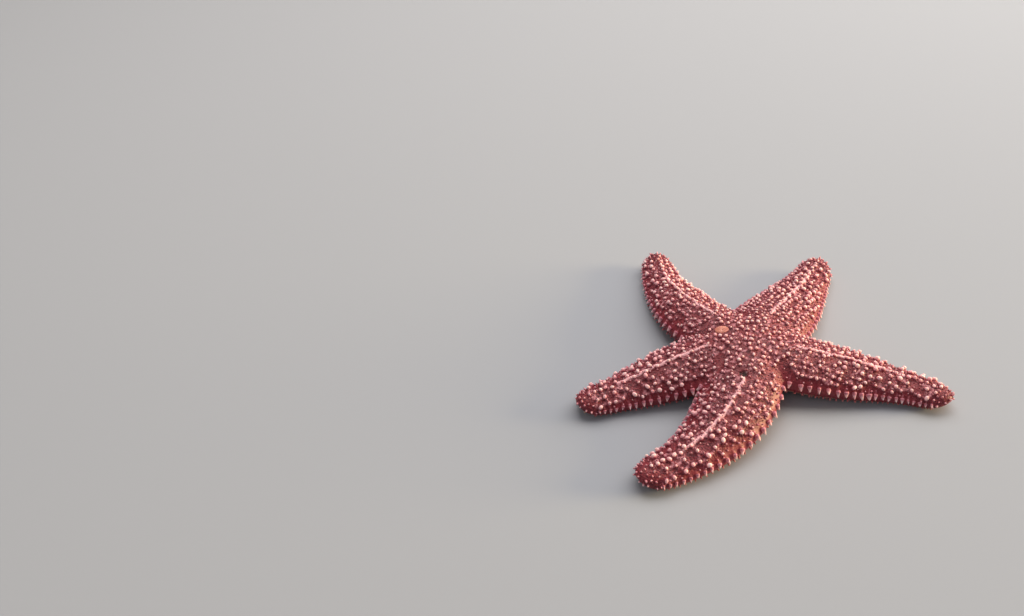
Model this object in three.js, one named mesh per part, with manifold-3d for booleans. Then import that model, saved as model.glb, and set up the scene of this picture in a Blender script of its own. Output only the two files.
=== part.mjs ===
// A common sea star of the western Atlantic shore, life size, at rest on a flat bed.
// Millimetres, +Z up, X across, the front arm towards -Y. The group's origin is the middle of the
// bounding box at bed level. The body is one form, parted by thin cuts into a disc and five arms.
import * as THREE from 'three';
import { mergeVertices } from 'three/addons/utils/BufferGeometryUtils.js';
import Module from 'manifold-3d';

const wasm = await Module();
wasm.setup();

const { degToRad, lerp, smoothstep } = THREE.MathUtils;

// ---- Driving dimensions ---------------------------------------------------------------------

// Each arm leaves the disc's centre at `heading` (degrees, anticlockwise from +X) and turns on its
// way to the tip by `sway` (in step with the length) and `curl` (with its square).
const ARMS = {
  arm_right: { length: 76.5, heading: -20, sway: 66, curl: -88, girth: 1.02 },
  arm_back_right: { length: 84, heading: 53, sway: -1, curl: 8, girth: 1.06 },
  arm_back_left: { length: 79, heading: 128, sway: -30, curl: -14, girth: 1 },
  arm_left: { length: 70, heading: 190, sway: 28, curl: -14, girth: 0.93 },
  arm_front: { length: 79.5, heading: 264, sway: -74, curl: 11, girth: 1 },
};
const ARM_NAMES = Object.keys(ARMS); // in order round the disc, anticlockwise from above

const DISC_HEIGHT = 18.3; // crest of the body over the disc's centre, above the bed
const TIP_HEIGHT = 6.2; // crest at the arm's end
const ROOT_HALF_WIDTH = 14.1;
const TIP_HALF_WIDTH = 6.4;
const ROOT_LIFT = 5; // the sole arches clear of the bed under the disc
const GROUNDED_FROM = 0.65; // share of the arm's length past which the sole lies flat on the bed
const TIP_LIFT = 2.5; // live arms turn their tips up a little
const TIP_LIFT_FROM = 0.82;
const ROUND_END_FROM = 0.9; // the blunt end is a quarter ellipse from here on
const END_STUB = 0.06; // what is left of the girth at the very end

const MARGIN_HEIGHT = 0.36; // height of the widest line, as a share of the arm's depth
const ROOF_POWER = 1.75; // under 2 the back is a soft roof, with a ridge along the arm
const SOLE_SLOPE = 1.3; // how soon the flank below the margin meets the flat sole
const SOLE_TUCK = 0.1; // how far the sole's edge stands in from the margin

const GROOVE_HALF_WIDTH = [3.2, 1.1]; // of the furrow that holds the tube feet, at root and end
const GROOVE_DEPTH = [4, 1.2];
const GROOVE_END = 0.965;
const MOUTH_RADIUS = [3, 5.2]; // inside, and at the lips
const MOUTH_DEPTH = 4;

const DISC_RADIUS = 15; // where the thin cut parts the disc from the arms
const CUT = 0.3; // width of every cut
const AXIL_REACH = 32; // no two arms touch farther out than this

const MADREPORITE = { radius: 2.7, height: 0.9, distance: 10.9, heading: 152 };

const ARM_SIDES = 16;
const ARM_STATIONS = 14;
const GROOVE_SIDES = 6;
const MOUTH_SIDES = 12;
const BUTTON_SIDES = 12;
const CUTTER_SIDES = 40; // a multiple of 4, so that the disc's box is centred on its axis
const TALL = 60; // height of a cutter, more than the body's

// ---- Solids and joins -----------------------------------------------------------------------

// A closed three.js geometry as a solid that can be cut and joined.
function solidOf(geometry) {
  const bare = geometry.clone();
  bare.deleteAttribute('normal');
  bare.deleteAttribute('uv');
  const merged = mergeVertices(bare, 1e-4);
  const triVerts = new Uint32Array(merged.index.array);
  const vertProperties = new Float32Array(merged.attributes.position.array);
  return new wasm.Manifold(new wasm.Mesh({ numProp: 3, vertProperties, triVerts }));
}

function geometryOf(solid) {
  const { numProp, numVert, vertProperties, triVerts } = solid.getMesh();
  const positions = new Float32Array(numVert * 3);
  for (let i = 0; i < numVert; i++) {
    positions.set(vertProperties.subarray(i * numProp, i * numProp + 3), i * 3);
  }
  const geometry = new THREE.BufferGeometry();
  geometry.setAttribute('position', new THREE.BufferAttribute(positions, 3));
  geometry.setIndex(new THREE.BufferAttribute(triVerts, 1));
  geometry.computeVertexNormals();
  return geometry;
}

const joined = (solids) => solids.reduce((sum, solid) => sum.add(solid));
const without = (solid, cutters) => cutters.reduce((rest, cutter) => rest.subtract(cutter), solid);

// ---- The arm --------------------------------------------------------------------------------

// The line that an arm follows over the bed, as a three.js curve.
class ArmAxis extends THREE.Curve {
  constructor(arm) {
    super();
    this.arm = arm;
  }

  heading(t) {
    const { heading, sway, curl } = this.arm;
    return degToRad(heading + sway * t + curl * t * t);
  }

  getPoint(t, target = new THREE.Vector3()) {
    const steps = 24;
    const stride = (this.arm.length * t) / steps;
    target.set(0, 0, 0);
    for (let i = 0; i < steps; i++) {
      const heading = this.heading((t * (i + 0.5)) / steps);
      target.x += Math.cos(heading) * stride;
      target.y += Math.sin(heading) * stride;
    }
    return target;
  }
}

// Half-width, crest and sole of an arm at share t of its length.
function armForm(arm, t) {
  const endShare = Math.max(0, (t - ROUND_END_FROM) / (1 - ROUND_END_FROM));
  const rounding = Math.max(END_STUB, Math.sqrt(Math.max(0, 1 - endShare * endShare)));
  const tipRise = Math.max(0, (t - TIP_LIFT_FROM) / (1 - TIP_LIFT_FROM));
  const turnedUp = TIP_LIFT * tipRise * tipRise;
  const crest = lerp(DISC_HEIGHT, TIP_HEIGHT, smoothstep(t, -0.05, 1.05)) + turnedUp;
  const sole = lerp(ROOT_LIFT, 0, smoothstep(t, -0.05, GROUNDED_FROM)) + turnedUp;
  const core = lerp(sole, crest, MARGIN_HEIGHT);
  const width = lerp(ROOT_HALF_WIDTH, TIP_HALF_WIDTH, smoothstep(t, 0.25, 1.02));
  return {
    halfWidth: width * arm.girth * rounding,
    crest: lerp(core, crest, rounding),
    sole: lerp(core, sole, rounding),
  };
}

// The section's outline at an angle, 0 at the right margin and 90 at the crest: the share of the
// half-width, and the share of the depth.
function sectionAt(angle) {
  const across = Math.cos(angle);
  const up = Math.sin(angle);
  if (up >= 0) {
    return {
      side: Math.sign(across) * Math.abs(across) ** (2 / ROOF_POWER),
      level: MARGIN_HEIGHT + (1 - MARGIN_HEIGHT) * up ** (2 / ROOF_POWER),
    };
  }
  return {
    side: Math.sign(across) * Math.abs(across) ** 0.4 * (1 + SOLE_TUCK * up),
    level: MARGIN_HEIGHT * Math.max(0, 1 + SOLE_SLOPE * up),
  };
}

// A point beside and above the arm's axis, from its offsets in millimetres.
function besideAxis(axis, t, offset, height) {
  const point = axis.getPoint(t);
  const heading = axis.heading(t);
  return point.add(new THREE.Vector3(Math.sin(heading) * offset, -Math.cos(heading) * offset, height));
}

function skinPoint(axis, t, angle) {
  const form = armForm(axis.arm, t);
  const { side, level } = sectionAt(angle);
  return besideAxis(axis, t, side * form.halfWidth, lerp(form.sole, form.crest, level));
}

function skinNormal(axis, t, angle) {
  const step = 0.01;
  const along = skinPoint(axis, t + step, angle).sub(skinPoint(axis, t - step, angle));
  const round = skinPoint(axis, t, angle + step).sub(skinPoint(axis, t, angle - step));
  return along.cross(round).normalize();
}

// A cylinder bent along an arm: `place` gives the point for each share of the length and angle.
function bentCylinder(sides, stations, place) {
  const geometry = new THREE.CylinderGeometry(1, 1, 1, sides, stations);
  const position = geometry.attributes.position;
  const corner = new THREE.Vector3();
  for (let i = 0; i < position.count; i++) {
    corner.fromBufferAttribute(position, i);
    const t = corner.y + 0.5;
    const onAxis = Math.hypot(corner.x, corner.z) < 0.5;
    const point = place(t, Math.atan2(corner.z, corner.x), onAxis);
    position.setXYZ(i, point.x, point.y, point.z);
  }
  return solidOf(geometry);
}

function armSolid(axis) {
  return bentCylinder(ARM_SIDES, ARM_STATIONS, (share, angle, onAxis) => {
    const t = 1 - (1 - share) ** 1.5; // stations crowd towards the round end
    const { crest, sole } = armForm(axis.arm, t);
    if (onAxis) return besideAxis(axis, t, 0, lerp(sole, crest, MARGIN_HEIGHT));
    return skinPoint(axis, t, angle);
  });
}

function grooveSolid(axis) {
  return bentCylinder(GROOVE_SIDES, ARM_STATIONS, (share, angle, onAxis) => {
    const t = share * GROOVE_END;
    const { sole } = armForm(axis.arm, t);
    if (onAxis) return besideAxis(axis, t, 0, sole);
    const offset = Math.cos(angle) * lerp(...GROOVE_HALF_WIDTH, share);
    const rise = Math.sin(angle) * lerp(...GROOVE_DEPTH, share);
    return besideAxis(axis, t, offset, sole + rise);
  });
}

// ---- Cutters --------------------------------------------------------------------------------

function column(radius) {
  return solidOf(new THREE.CylinderGeometry(radius, radius, TALL, CUTTER_SIDES).rotateX(Math.PI / 2));
}

// The ground of an arm's neighbours: a slice from one bearing round to another, out to AXIL_REACH.
function slice(fromBearing, toBearing) {
  const outline = new THREE.Shape();
  outline.moveTo(0, 0);
  outline.lineTo(AXIL_REACH * Math.cos(fromBearing), AXIL_REACH * Math.sin(fromBearing));
  outline.absarc(0, 0, AXIL_REACH, fromBearing, toBearing, false);
  const geometry = new THREE.ExtrudeGeometry(outline, { depth: TALL, bevelEnabled: false, curveSegments: 8 });
  return solidOf(geometry.translate(0, 0, -TALL / 2));
}

function slit(bearing) {
  const blade = new THREE.BoxGeometry(AXIL_REACH, CUT, TALL).translate(AXIL_REACH / 2, 0, 0);
  return solidOf(blade.rotateZ(bearing));
}

function mouthSolid() {
  const height = ROOT_LIFT + MOUTH_DEPTH;
  const funnel = new THREE.CylinderGeometry(...MOUTH_RADIUS, height, MOUTH_SIDES);
  return solidOf(funnel.rotateX(Math.PI / 2).translate(0, 0, height / 2));
}

// ---- Spines ---------------------------------------------------------------------------------

// A four-sided spine, rooted a little under the skin.
function spineSolid(root, direction, radius, height) {
  const cone = new THREE.ConeGeometry(radius, height + SPINE_SUNK, SPINE_SIDES);
  cone.translate(0, (height - SPINE_SUNK) / 2, 0);
  const turn = new THREE.Quaternion().setFromUnitVectors(new THREE.Vector3(0, 1, 0), direction);
  return solidOf(cone.applyQuaternion(turn).translate(root.x, root.y, root.z));
}

// Rows of spines along an arm: angle round the section, pitch along it and size, in degrees and
// millimetres. `lean` tips a spine down from the skin's normal.
const SPINE_ROWS = [
  { angle: 90, pitch: 4, radius: 0.9, height: 1.4, from: 0.25, zigzag: 4, lean: 0 },
  { angle: 55, pitch: 7, radius: 1, height: 1.4, from: 0.28, zigzag: 5, lean: 0 },
  { angle: 125, pitch: 7, radius: 1, height: 1.4, from: 0.28, zigzag: 5, lean: 0 },
  { angle: 27, pitch: 7, radius: 1, height: 1.4, from: 0.36, zigzag: 4, lean: 0 },
  { angle: 153, pitch: 7, radius: 1, height: 1.4, from: 0.36, zigzag: 4, lean: 0 },
  { angle: 2, pitch: 4.4, radius: 1, height: 2.3, from: 0.36, zigzag: 0, lean: 0.25 },
  { angle: 178, pitch: 4.4, radius: 1, height: 2.3, from: 0.36, zigzag: 0, lean: 0.25 },
];
const LAST_SPINE = 0.955; // share of the arm's length
const SPINE_SUNK = 0.6;
const SPINE_SIDES = 4;

function armSpines(axis) {
  return SPINE_ROWS.flatMap(({ angle, pitch, radius, height, from, zigzag, lean }) => {
    const count = Math.round(((LAST_SPINE - from) * axis.arm.length) / pitch);
    return Array.from({ length: count }, (_, i) => {
      const t = lerp(from, LAST_SPINE, i / (count - 1));
      const round = degToRad(angle + (i % 2 ? zigzag : -zigzag));
      const direction = skinNormal(axis, t, round);
      direction.z -= lean;
      const size = lerp(1, 0.65, smoothstep(t, 0.5, 1));
      return spineSolid(skinPoint(axis, t, round), direction.normalize(), radius * size, height * size);
    });
  });
}

// Looks straight down on a solid and gives the point and the normal that it meets.
function seatOn(solid, x, y) {
  const target = new THREE.Mesh(geometryOf(solid), new THREE.MeshBasicMaterial());
  const [hit] = new THREE.Raycaster(new THREE.Vector3(x, y, TALL), new THREE.Vector3(0, 0, -1)).intersectObject(target);
  return { point: hit.point, normal: hit.face.normal };
}

const DISC_SPINES = { count: 30, reach: 13.4, radius: 0.9, height: 1.3 };
const GOLDEN_ANGLE = degToRad(137.508);

function discSpines(disc, bareSpot) {
  const { count, reach, radius, height } = DISC_SPINES;
  return Array.from({ length: count }, (_, i) => {
    const distance = reach * Math.sqrt((i + 0.5) / count);
    return new THREE.Vector2(distance, 0).rotateAround(new THREE.Vector2(), i * GOLDEN_ANGLE);
  })
    .filter((place) => place.distanceTo(bareSpot) > MADREPORITE.radius + radius + CUT)
    .map((place) => {
      const { point, normal } = seatOn(disc, place.x, place.y);
      return spineSolid(point, normal, radius, height);
    });
}

// ---- The madreporite: the sieve plate, a low button seated in the disc -------------------------

function buttonSolid(seat, radius, thickness) {
  const button = new THREE.SphereGeometry(1, BUTTON_SIDES, BUTTON_SIDES / 2).scale(radius, thickness, radius);
  const turn = new THREE.Quaternion().setFromUnitVectors(new THREE.Vector3(0, 1, 0), seat.normal);
  return solidOf(button.applyQuaternion(turn).translate(seat.point.x, seat.point.y, seat.point.z));
}

// ---- Assembly -------------------------------------------------------------------------------

const axes = ARM_NAMES.map((name) => new ArmAxis(ARMS[name]));
const furrows = joined([...axes.map(grooveSolid), mouthSolid()]);
const armForms = axes.map(armSolid);

// The bearing of the axil between an arm and the next one round, half-way between their headings.
function axilAfter(i) {
  const here = ARMS[ARM_NAMES[i]].heading;
  const next = ARMS[ARM_NAMES[(i + 1) % ARM_NAMES.length]].heading;
  return degToRad((here + next + (next < here ? 360 : 0)) / 2);
}

function makeArm(i) {
  const after = axilAfter(i);
  const before = i > 0 ? axilAfter(i - 1) : axilAfter(ARM_NAMES.length - 1) - 2 * Math.PI;
  const opposite = degToRad(ARMS[ARM_NAMES[i]].heading + 180);
  const flesh = armForms[i].add(joined(armSpines(axes[i])));
  return without(flesh, [
    furrows,
    column(DISC_RADIUS + CUT),
    slice(after, opposite),
    slice(opposite - 2 * Math.PI, before),
    slit(after),
    slit(before),
  ]);
}

function makeDisc() {
  const bare = joined(armForms).intersect(column(DISC_RADIUS));
  const bearing = degToRad(MADREPORITE.heading);
  const spot = new THREE.Vector2(MADREPORITE.distance, 0).rotateAround(new THREE.Vector2(), bearing);
  const seat = seatOn(bare, spot.x, spot.y);
  const socket = buttonSolid(seat, MADREPORITE.radius + CUT, MADREPORITE.height + CUT);
  return {
    disc: without(bare.add(joined(discSpines(bare, spot))), [furrows, socket]),
    madreporite: buttonSolid(seat, MADREPORITE.radius, MADREPORITE.height),
  };
}

const SKIN = { color: 0x7a333c, roughness: 0.55, metalness: 0 };
const SIEVE = { color: 0xe88f62, roughness: 0.6, metalness: 0 };

function mesh(name, solid, finish) {
  const made = new THREE.Mesh(geometryOf(solid), new THREE.MeshStandardMaterial(finish));
  made.name = name;
  return made;
}

const seaStar = new THREE.Group();
const { disc, madreporite } = makeDisc();
seaStar.add(mesh('disc', disc, SKIN), mesh('madreporite', madreporite, SIEVE));
ARM_NAMES.forEach((name, i) => seaStar.add(mesh(name, makeArm(i), SKIN)));

const box = new THREE.Box3().setFromObject(seaStar);
const middle = box.getCenter(new THREE.Vector3());
seaStar.position.set(-middle.x, -middle.y, -box.min.z);

export default seaStar;
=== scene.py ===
"""A common sea star of the western Atlantic shore, life size, at rest on a flat surface.

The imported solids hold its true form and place. Here it gets its living surface: one wet skin over
disc and arms, and on it the limy knobs, their wreaths of tiny pincers, the skin gills between them,
the comb of spines along each side, the tube feet in their grooves, the mouth and the sieve plate.
Until a mesh is made, lengths are millimetres from the disc's centre at the level of the floor.
"""
import itertools
import logging
import math
from dataclasses import dataclass
from enum import Enum
from typing import Sequence

import bpy
import numpy as np
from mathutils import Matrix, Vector
from mathutils.bvhtree import BVHTree
from mathutils.kdtree import KDTree


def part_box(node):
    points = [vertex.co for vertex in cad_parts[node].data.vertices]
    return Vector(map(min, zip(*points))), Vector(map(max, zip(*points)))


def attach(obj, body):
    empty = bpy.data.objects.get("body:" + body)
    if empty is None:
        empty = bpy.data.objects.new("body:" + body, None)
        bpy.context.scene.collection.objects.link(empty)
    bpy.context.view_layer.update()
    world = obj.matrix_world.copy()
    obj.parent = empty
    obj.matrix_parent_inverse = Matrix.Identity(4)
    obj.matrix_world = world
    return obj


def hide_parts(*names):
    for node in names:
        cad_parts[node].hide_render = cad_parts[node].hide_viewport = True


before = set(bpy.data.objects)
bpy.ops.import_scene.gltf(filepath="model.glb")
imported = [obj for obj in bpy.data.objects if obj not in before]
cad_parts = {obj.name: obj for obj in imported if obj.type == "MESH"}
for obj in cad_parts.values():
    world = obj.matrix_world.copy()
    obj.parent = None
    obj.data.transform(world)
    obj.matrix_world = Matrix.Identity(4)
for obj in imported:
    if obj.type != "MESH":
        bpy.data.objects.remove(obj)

Array = np.ndarray
Pair = tuple[float, float]
Piece = bpy.types.Object
Socket = bpy.types.NodeSocket
Tree = bpy.types.NodeTree

LOG = logging.getLogger("sea_star")
MM = 0.001
UP = np.array([0.0, 0.0, 1.0])


# ---- Small sums ------------------------------------------------------------------------------


def lerp(low: float, high: float, share: Array | float) -> Array | float:
    """Goes from low to high with share, from 0 to 1."""
    return low + (high - low) * share


def smoothstep(value: Array | float, low: float, high: float) -> Array | float:
    """Rises smoothly from 0 at low to 1 at high."""
    share = np.clip((value - low) / (high - low), 0.0, 1.0)
    return share * share * (3.0 - 2.0 * share)


def ease(ends: Pair, span: Pair, t: Array | float) -> Array | float:
    """Goes smoothly from the first of ends to the second while t crosses span."""
    return lerp(*ends, smoothstep(t, *span))


def unit(vectors: Array) -> Array:
    """Scales each row to a length of 1."""
    return vectors / np.maximum(np.linalg.norm(vectors, axis=-1, keepdims=True), 1e-9)


def nearest_tree(points: Array) -> KDTree:
    """Makes a search tree of points.

    Args:
        points: places, one a row.

    Returns:
        A balanced tree, whose indices are the rows' numbers.
    """
    tree = KDTree(len(points))
    for index, point in enumerate(points):
        tree.insert(point, index)
    tree.balance()
    return tree


def distances(points: Array, others: Array) -> Array:
    """Finds how far each point is from the nearest of the others.

    Args:
        points: places to measure from, one a row.
        others: places to measure to, one a row.

    Returns:
        A distance for each point.
    """
    tree = nearest_tree(others)
    return np.array([tree.find(point)[2] for point in points])


# ---- The body plan ---------------------------------------------------------------------------


class ArmName(Enum):
    """The arms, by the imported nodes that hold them, in order round the disc."""

    RIGHT = "arm_right"
    BACK_RIGHT = "arm_back_right"
    BACK_LEFT = "arm_back_left"
    LEFT = "arm_left"
    FRONT = "arm_front"


CREST_HEIGHTS = (18.3, 6.2)  # on the disc and at the tip
CREST_SPAN = (-0.05, 1.05)  # the shares of an arm's length between which the crest falls
HALF_WIDTHS = (14.1, 6.4)
TAPER_SPAN = (0.25, 1.02)
SOLE_HEIGHTS = (5.0, 0.0)  # the sole arches clear of the floor under the disc
SOLE_SPAN = (-0.05, 0.65)
TIP_LIFT = 2.5
TIP_LIFT_FROM = 0.82
ROUND_END_FROM = 0.9
END_STUB = 0.06
MARGIN_HEIGHT = 0.36  # height of the widest line, as a share of the arm's depth
ROOF_POWER = 1.75  # under 2, the back is a soft roof with a ridge along the arm
SOLE_ROUNDING = 0.4  # the less, the squarer the edge between flank and sole
SOLE_SLOPE = 1.3
SOLE_TUCK = 0.1
GROOVE_HALF_WIDTH = (3.2, 1.1)  # at the arm's root and end
GROOVE_DEPTH = (4.0, 1.2)
GROOVE_END = 0.965
GROOVE_FADE = (0.02, 0.03)  # past its end and before it
GROOVE_CEILING = 0.8  # of the margin's height
MOUTH_RADIUS = (3.0, 5.2)  # inside, and at the lips
MOUTH_ROOF = 0.6  # of the inner radius
MOUTH_CEILING = 9.0
FLOOR_GAP = 0.03  # nothing reaches lower
AXIS_STEPS = 24  # strides that a place on an arm's line is summed from
AXIS_STATIONS = 121  # places on an arm's line that points are matched with
ARC_STATIONS = (60, 40)  # round half a section, to find an angle and to measure an arc
BEYOND_COST = 12  # how strongly a place past an arm's end belongs to another arm


def section_at(angle: Array) -> tuple[Array, Array]:
    """Gives the outline of an arm's cross-section.

    Args:
        angle: radians round the section, 0 at the right margin and pi / 2 at the crest.

    Returns:
        The share of the half-width, and the share of the depth.
    """
    across, up = np.cos(angle), np.sin(angle)
    above = up >= 0
    top_side = np.sign(across) * np.abs(across) ** (2 / ROOF_POWER)
    top_level = MARGIN_HEIGHT + (1 - MARGIN_HEIGHT) * np.abs(up) ** (2 / ROOF_POWER)
    low_side = np.sign(across) * np.abs(across) ** SOLE_ROUNDING * (1 + SOLE_TUCK * up)
    low_level = MARGIN_HEIGHT * np.maximum(0.0, 1 + SOLE_SLOPE * up)
    return np.where(above, top_side, low_side), np.where(above, top_level, low_level)


@dataclass(frozen=True)
class ArmShape:
    """One arm's line over the floor, and its form along that line. Lengths are millimetres.

    It leaves the disc's centre at `heading` (degrees, anticlockwise from +X), and turns on its way
    to the tip by `sway` (in step with the length) and `curl` (with its square).
    """

    name: ArmName
    length: float
    heading: float
    sway: float
    curl: float
    girth: float = 1.0

    def heading_at(self, t: Array) -> Array:
        """Gives the arm's direction, in radians, at shares t of its length."""
        return np.radians(self.heading + self.sway * t + self.curl * t * t)

    def axis_at(self, t: Array) -> Array:
        """Gives the axis's places, (N, 2), at shares t of the length.

        Args:
            t: shares of the arm's length.

        Returns:
            The axis's places over the floor, (N, 2).
        """
        shares = (np.arange(AXIS_STEPS) + 0.5) / AXIS_STEPS
        headings = self.heading_at(np.asarray(t)[:, None] * shares)
        stride = (self.length * np.asarray(t) / AXIS_STEPS)[:, None]
        return np.stack([np.cos(headings).sum(1), np.sin(headings).sum(1)], 1) * stride

    def form_at(self, t: Array) -> tuple[Array, Array, Array]:
        """Gives the half-width and the heights of crest and sole at shares t of the length.

        Args:
            t: shares of the arm's length.

        Returns:
            The half-widths, the crest's heights and the sole's.
        """
        end_share = np.clip((t - ROUND_END_FROM) / (1 - ROUND_END_FROM), 0.0, 1.0)
        rounding = np.maximum(END_STUB, np.sqrt(1 - end_share * end_share))
        tip_rise = np.maximum(0.0, (t - TIP_LIFT_FROM) / (1 - TIP_LIFT_FROM))
        turned_up = TIP_LIFT * tip_rise * tip_rise
        crest = ease(CREST_HEIGHTS, CREST_SPAN, t) + turned_up
        sole = ease(SOLE_HEIGHTS, SOLE_SPAN, t) + turned_up
        core = lerp(sole, crest, MARGIN_HEIGHT)
        half_width = ease(HALF_WIDTHS, TAPER_SPAN, t) * self.girth * rounding
        return half_width, lerp(core, crest, rounding), lerp(core, sole, rounding)

    def place_at(self, t: Array, offset: Array, height: Array) -> Array:
        """Gives points, (N, 3), at shares t of the length, offsets to the right and heights.

        Args:
            t: shares of the arm's length.
            offset: distances to the right of the axis.
            height: heights above the floor.

        Returns:
            The points, (N, 3).
        """
        heading = self.heading_at(t)
        right = np.stack([np.sin(heading), -np.cos(heading)], 1)
        return np.column_stack([self.axis_at(t) + right * offset[:, None], height])

    def skin_at(self, t: Array, angle: Array) -> Array:
        """Gives points of the surface, (N, 3), at shares t and angles round the section.

        Args:
            t: shares of the arm's length.
            angle: radians round the section.

        Returns:
            The points, (N, 3).
        """
        half_width, crest, sole = self.form_at(t)
        side, level = section_at(angle)
        return self.place_at(t, side * half_width, lerp(sole, crest, level))

    def arc_angles(self, t: float, arcs: Array) -> Array:
        """Finds the angles at distances down the skin from the crest.

        Args:
            t: share of the arm's length.
            arcs: millimetres from the crest, positive towards the right margin.

        Returns:
            An angle for each distance, no lower than the margins.
        """
        angles = np.linspace(math.pi / 2, 0.0, ARC_STATIONS[0])
        points = self.skin_at(np.full(len(angles), t), angles)
        gone = np.concatenate([[0.0], np.cumsum(np.linalg.norm(np.diff(points, axis=0), axis=1))])
        down = np.interp(np.abs(arcs), gone, math.pi / 2 - angles)
        return math.pi / 2 - np.sign(arcs) * down

    def arc_to(self, t: float, angle: float) -> float:
        """Measures the skin from the crest down to an angle, in millimetres, at share t.

        Args:
            t: share of the arm's length.
            angle: radians round the section.

        Returns:
            The distance along the skin.
        """
        angles = np.linspace(math.pi / 2, angle, ARC_STATIONS[1])
        points = self.skin_at(np.full(len(angles), t), angles)
        return float(np.linalg.norm(np.diff(points, axis=0), axis=1).sum())

    def locate(self, points: Array) -> tuple[Array, Array]:
        """Finds where points lie along the arm.

        Args:
            points: places, (N, 2) or (N, 3).

        Returns:
            The share of the length and the offset to the right of the axis, for each point.
        """
        shares = np.linspace(0.0, 1.0, AXIS_STATIONS)
        axis = self.axis_at(shares)
        flat = points[:, :2]
        gaps = (flat**2).sum(1)[:, None] - 2 * flat @ axis.T + (axis**2).sum(1)
        best = gaps.argmin(1)
        heading = self.heading_at(shares[best])
        ahead = np.stack([np.cos(heading), np.sin(heading)], 1)
        gap = flat - axis[best]
        along = (gap * ahead).sum(1)
        offset = gap[:, 0] * ahead[:, 1] - gap[:, 1] * ahead[:, 0]
        return shares[best] + along / self.length, offset


ARMS = (
    ArmShape(ArmName.RIGHT, length=76.5, heading=-20, sway=66, curl=-88, girth=1.02),
    ArmShape(ArmName.BACK_RIGHT, length=84, heading=53, sway=-1, curl=8, girth=1.06),
    ArmShape(ArmName.BACK_LEFT, length=79, heading=128, sway=-30, curl=-14),
    ArmShape(ArmName.LEFT, length=70, heading=190, sway=28, curl=-14, girth=0.93),
    ArmShape(ArmName.FRONT, length=79.5, heading=264, sway=-74, curl=11),
)


def disc_centre() -> Vector:
    """Gives the disc's centre at floor level in the frame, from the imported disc's box."""
    low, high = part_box("disc")
    return Vector(((low.x + high.x) / 2, (low.y + high.y) / 2, 0.0))


CENTRE = disc_centre()


def to_frame(points: Array) -> Array:
    """Turns millimetres from the disc's centre into the frame's metres."""
    return points * MM + np.array(CENTRE)


@dataclass(frozen=True)
class Where:
    """Where points lie on the body: the arm that holds each, and its place along and beside it."""

    arm: Array
    t: Array
    offset: Array
    share: Array  # of the half-width, 0 over the axis and 1 at the margin

    @staticmethod
    def of(points: Array) -> "Where":
        """Finds where points, (N, 3) in millimetres, lie.

        Args:
            points: places on or near the body, (N, 3).

        Returns:
            The arm that each is nearest to for its width, and its place there.
        """
        shares, offsets, closeness = [], [], []
        for arm in ARMS:
            t, offset = arm.locate(points)
            half_width, _, _ = arm.form_at(np.clip(t, 0.0, ROUND_END_FROM))
            beyond = np.maximum(0.0, t - 1) + np.maximum(0.0, -t)
            shares.append(t)
            offsets.append(offset)
            closeness.append(np.abs(offset) / half_width + beyond * BEYOND_COST)
        arm_index = np.argmin(closeness, axis=0)
        rows = np.arange(len(points))
        return Where(
            arm=arm_index,
            t=np.array(shares)[arm_index, rows],
            offset=np.array(offsets)[arm_index, rows],
            share=np.array(closeness)[arm_index, rows],
        )

    def unwrap(self, heights: Array) -> Array:
        """Lays points out flat: a strip of the map for each arm, along it and round its section.

        Args:
            heights: each point's height above the floor.

        Returns:
            A place on the unit square for each point.
        """
        seam = 4.0
        seam_climb = 2.0  # from the arm's end to its root
        top = heights > seam + seam_climb * (1 - np.clip(self.t, 0, 1))
        side = np.clip(self.offset / HALF_WIDTHS[0], -1, 1)
        back_half, sole_half = 0.3 + 0.22 * side, 0.76 - 0.18 * side
        across = np.where(top, back_half, sole_half)
        strip = 1.0 / len(ARMS)
        along = 0.03 + 0.9 * np.clip(self.t, 0, 1.02)
        return np.column_stack([along, strip * (self.arm + across)])


# ---- The bench: Blender's own tools ----------------------------------------------------------


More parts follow.
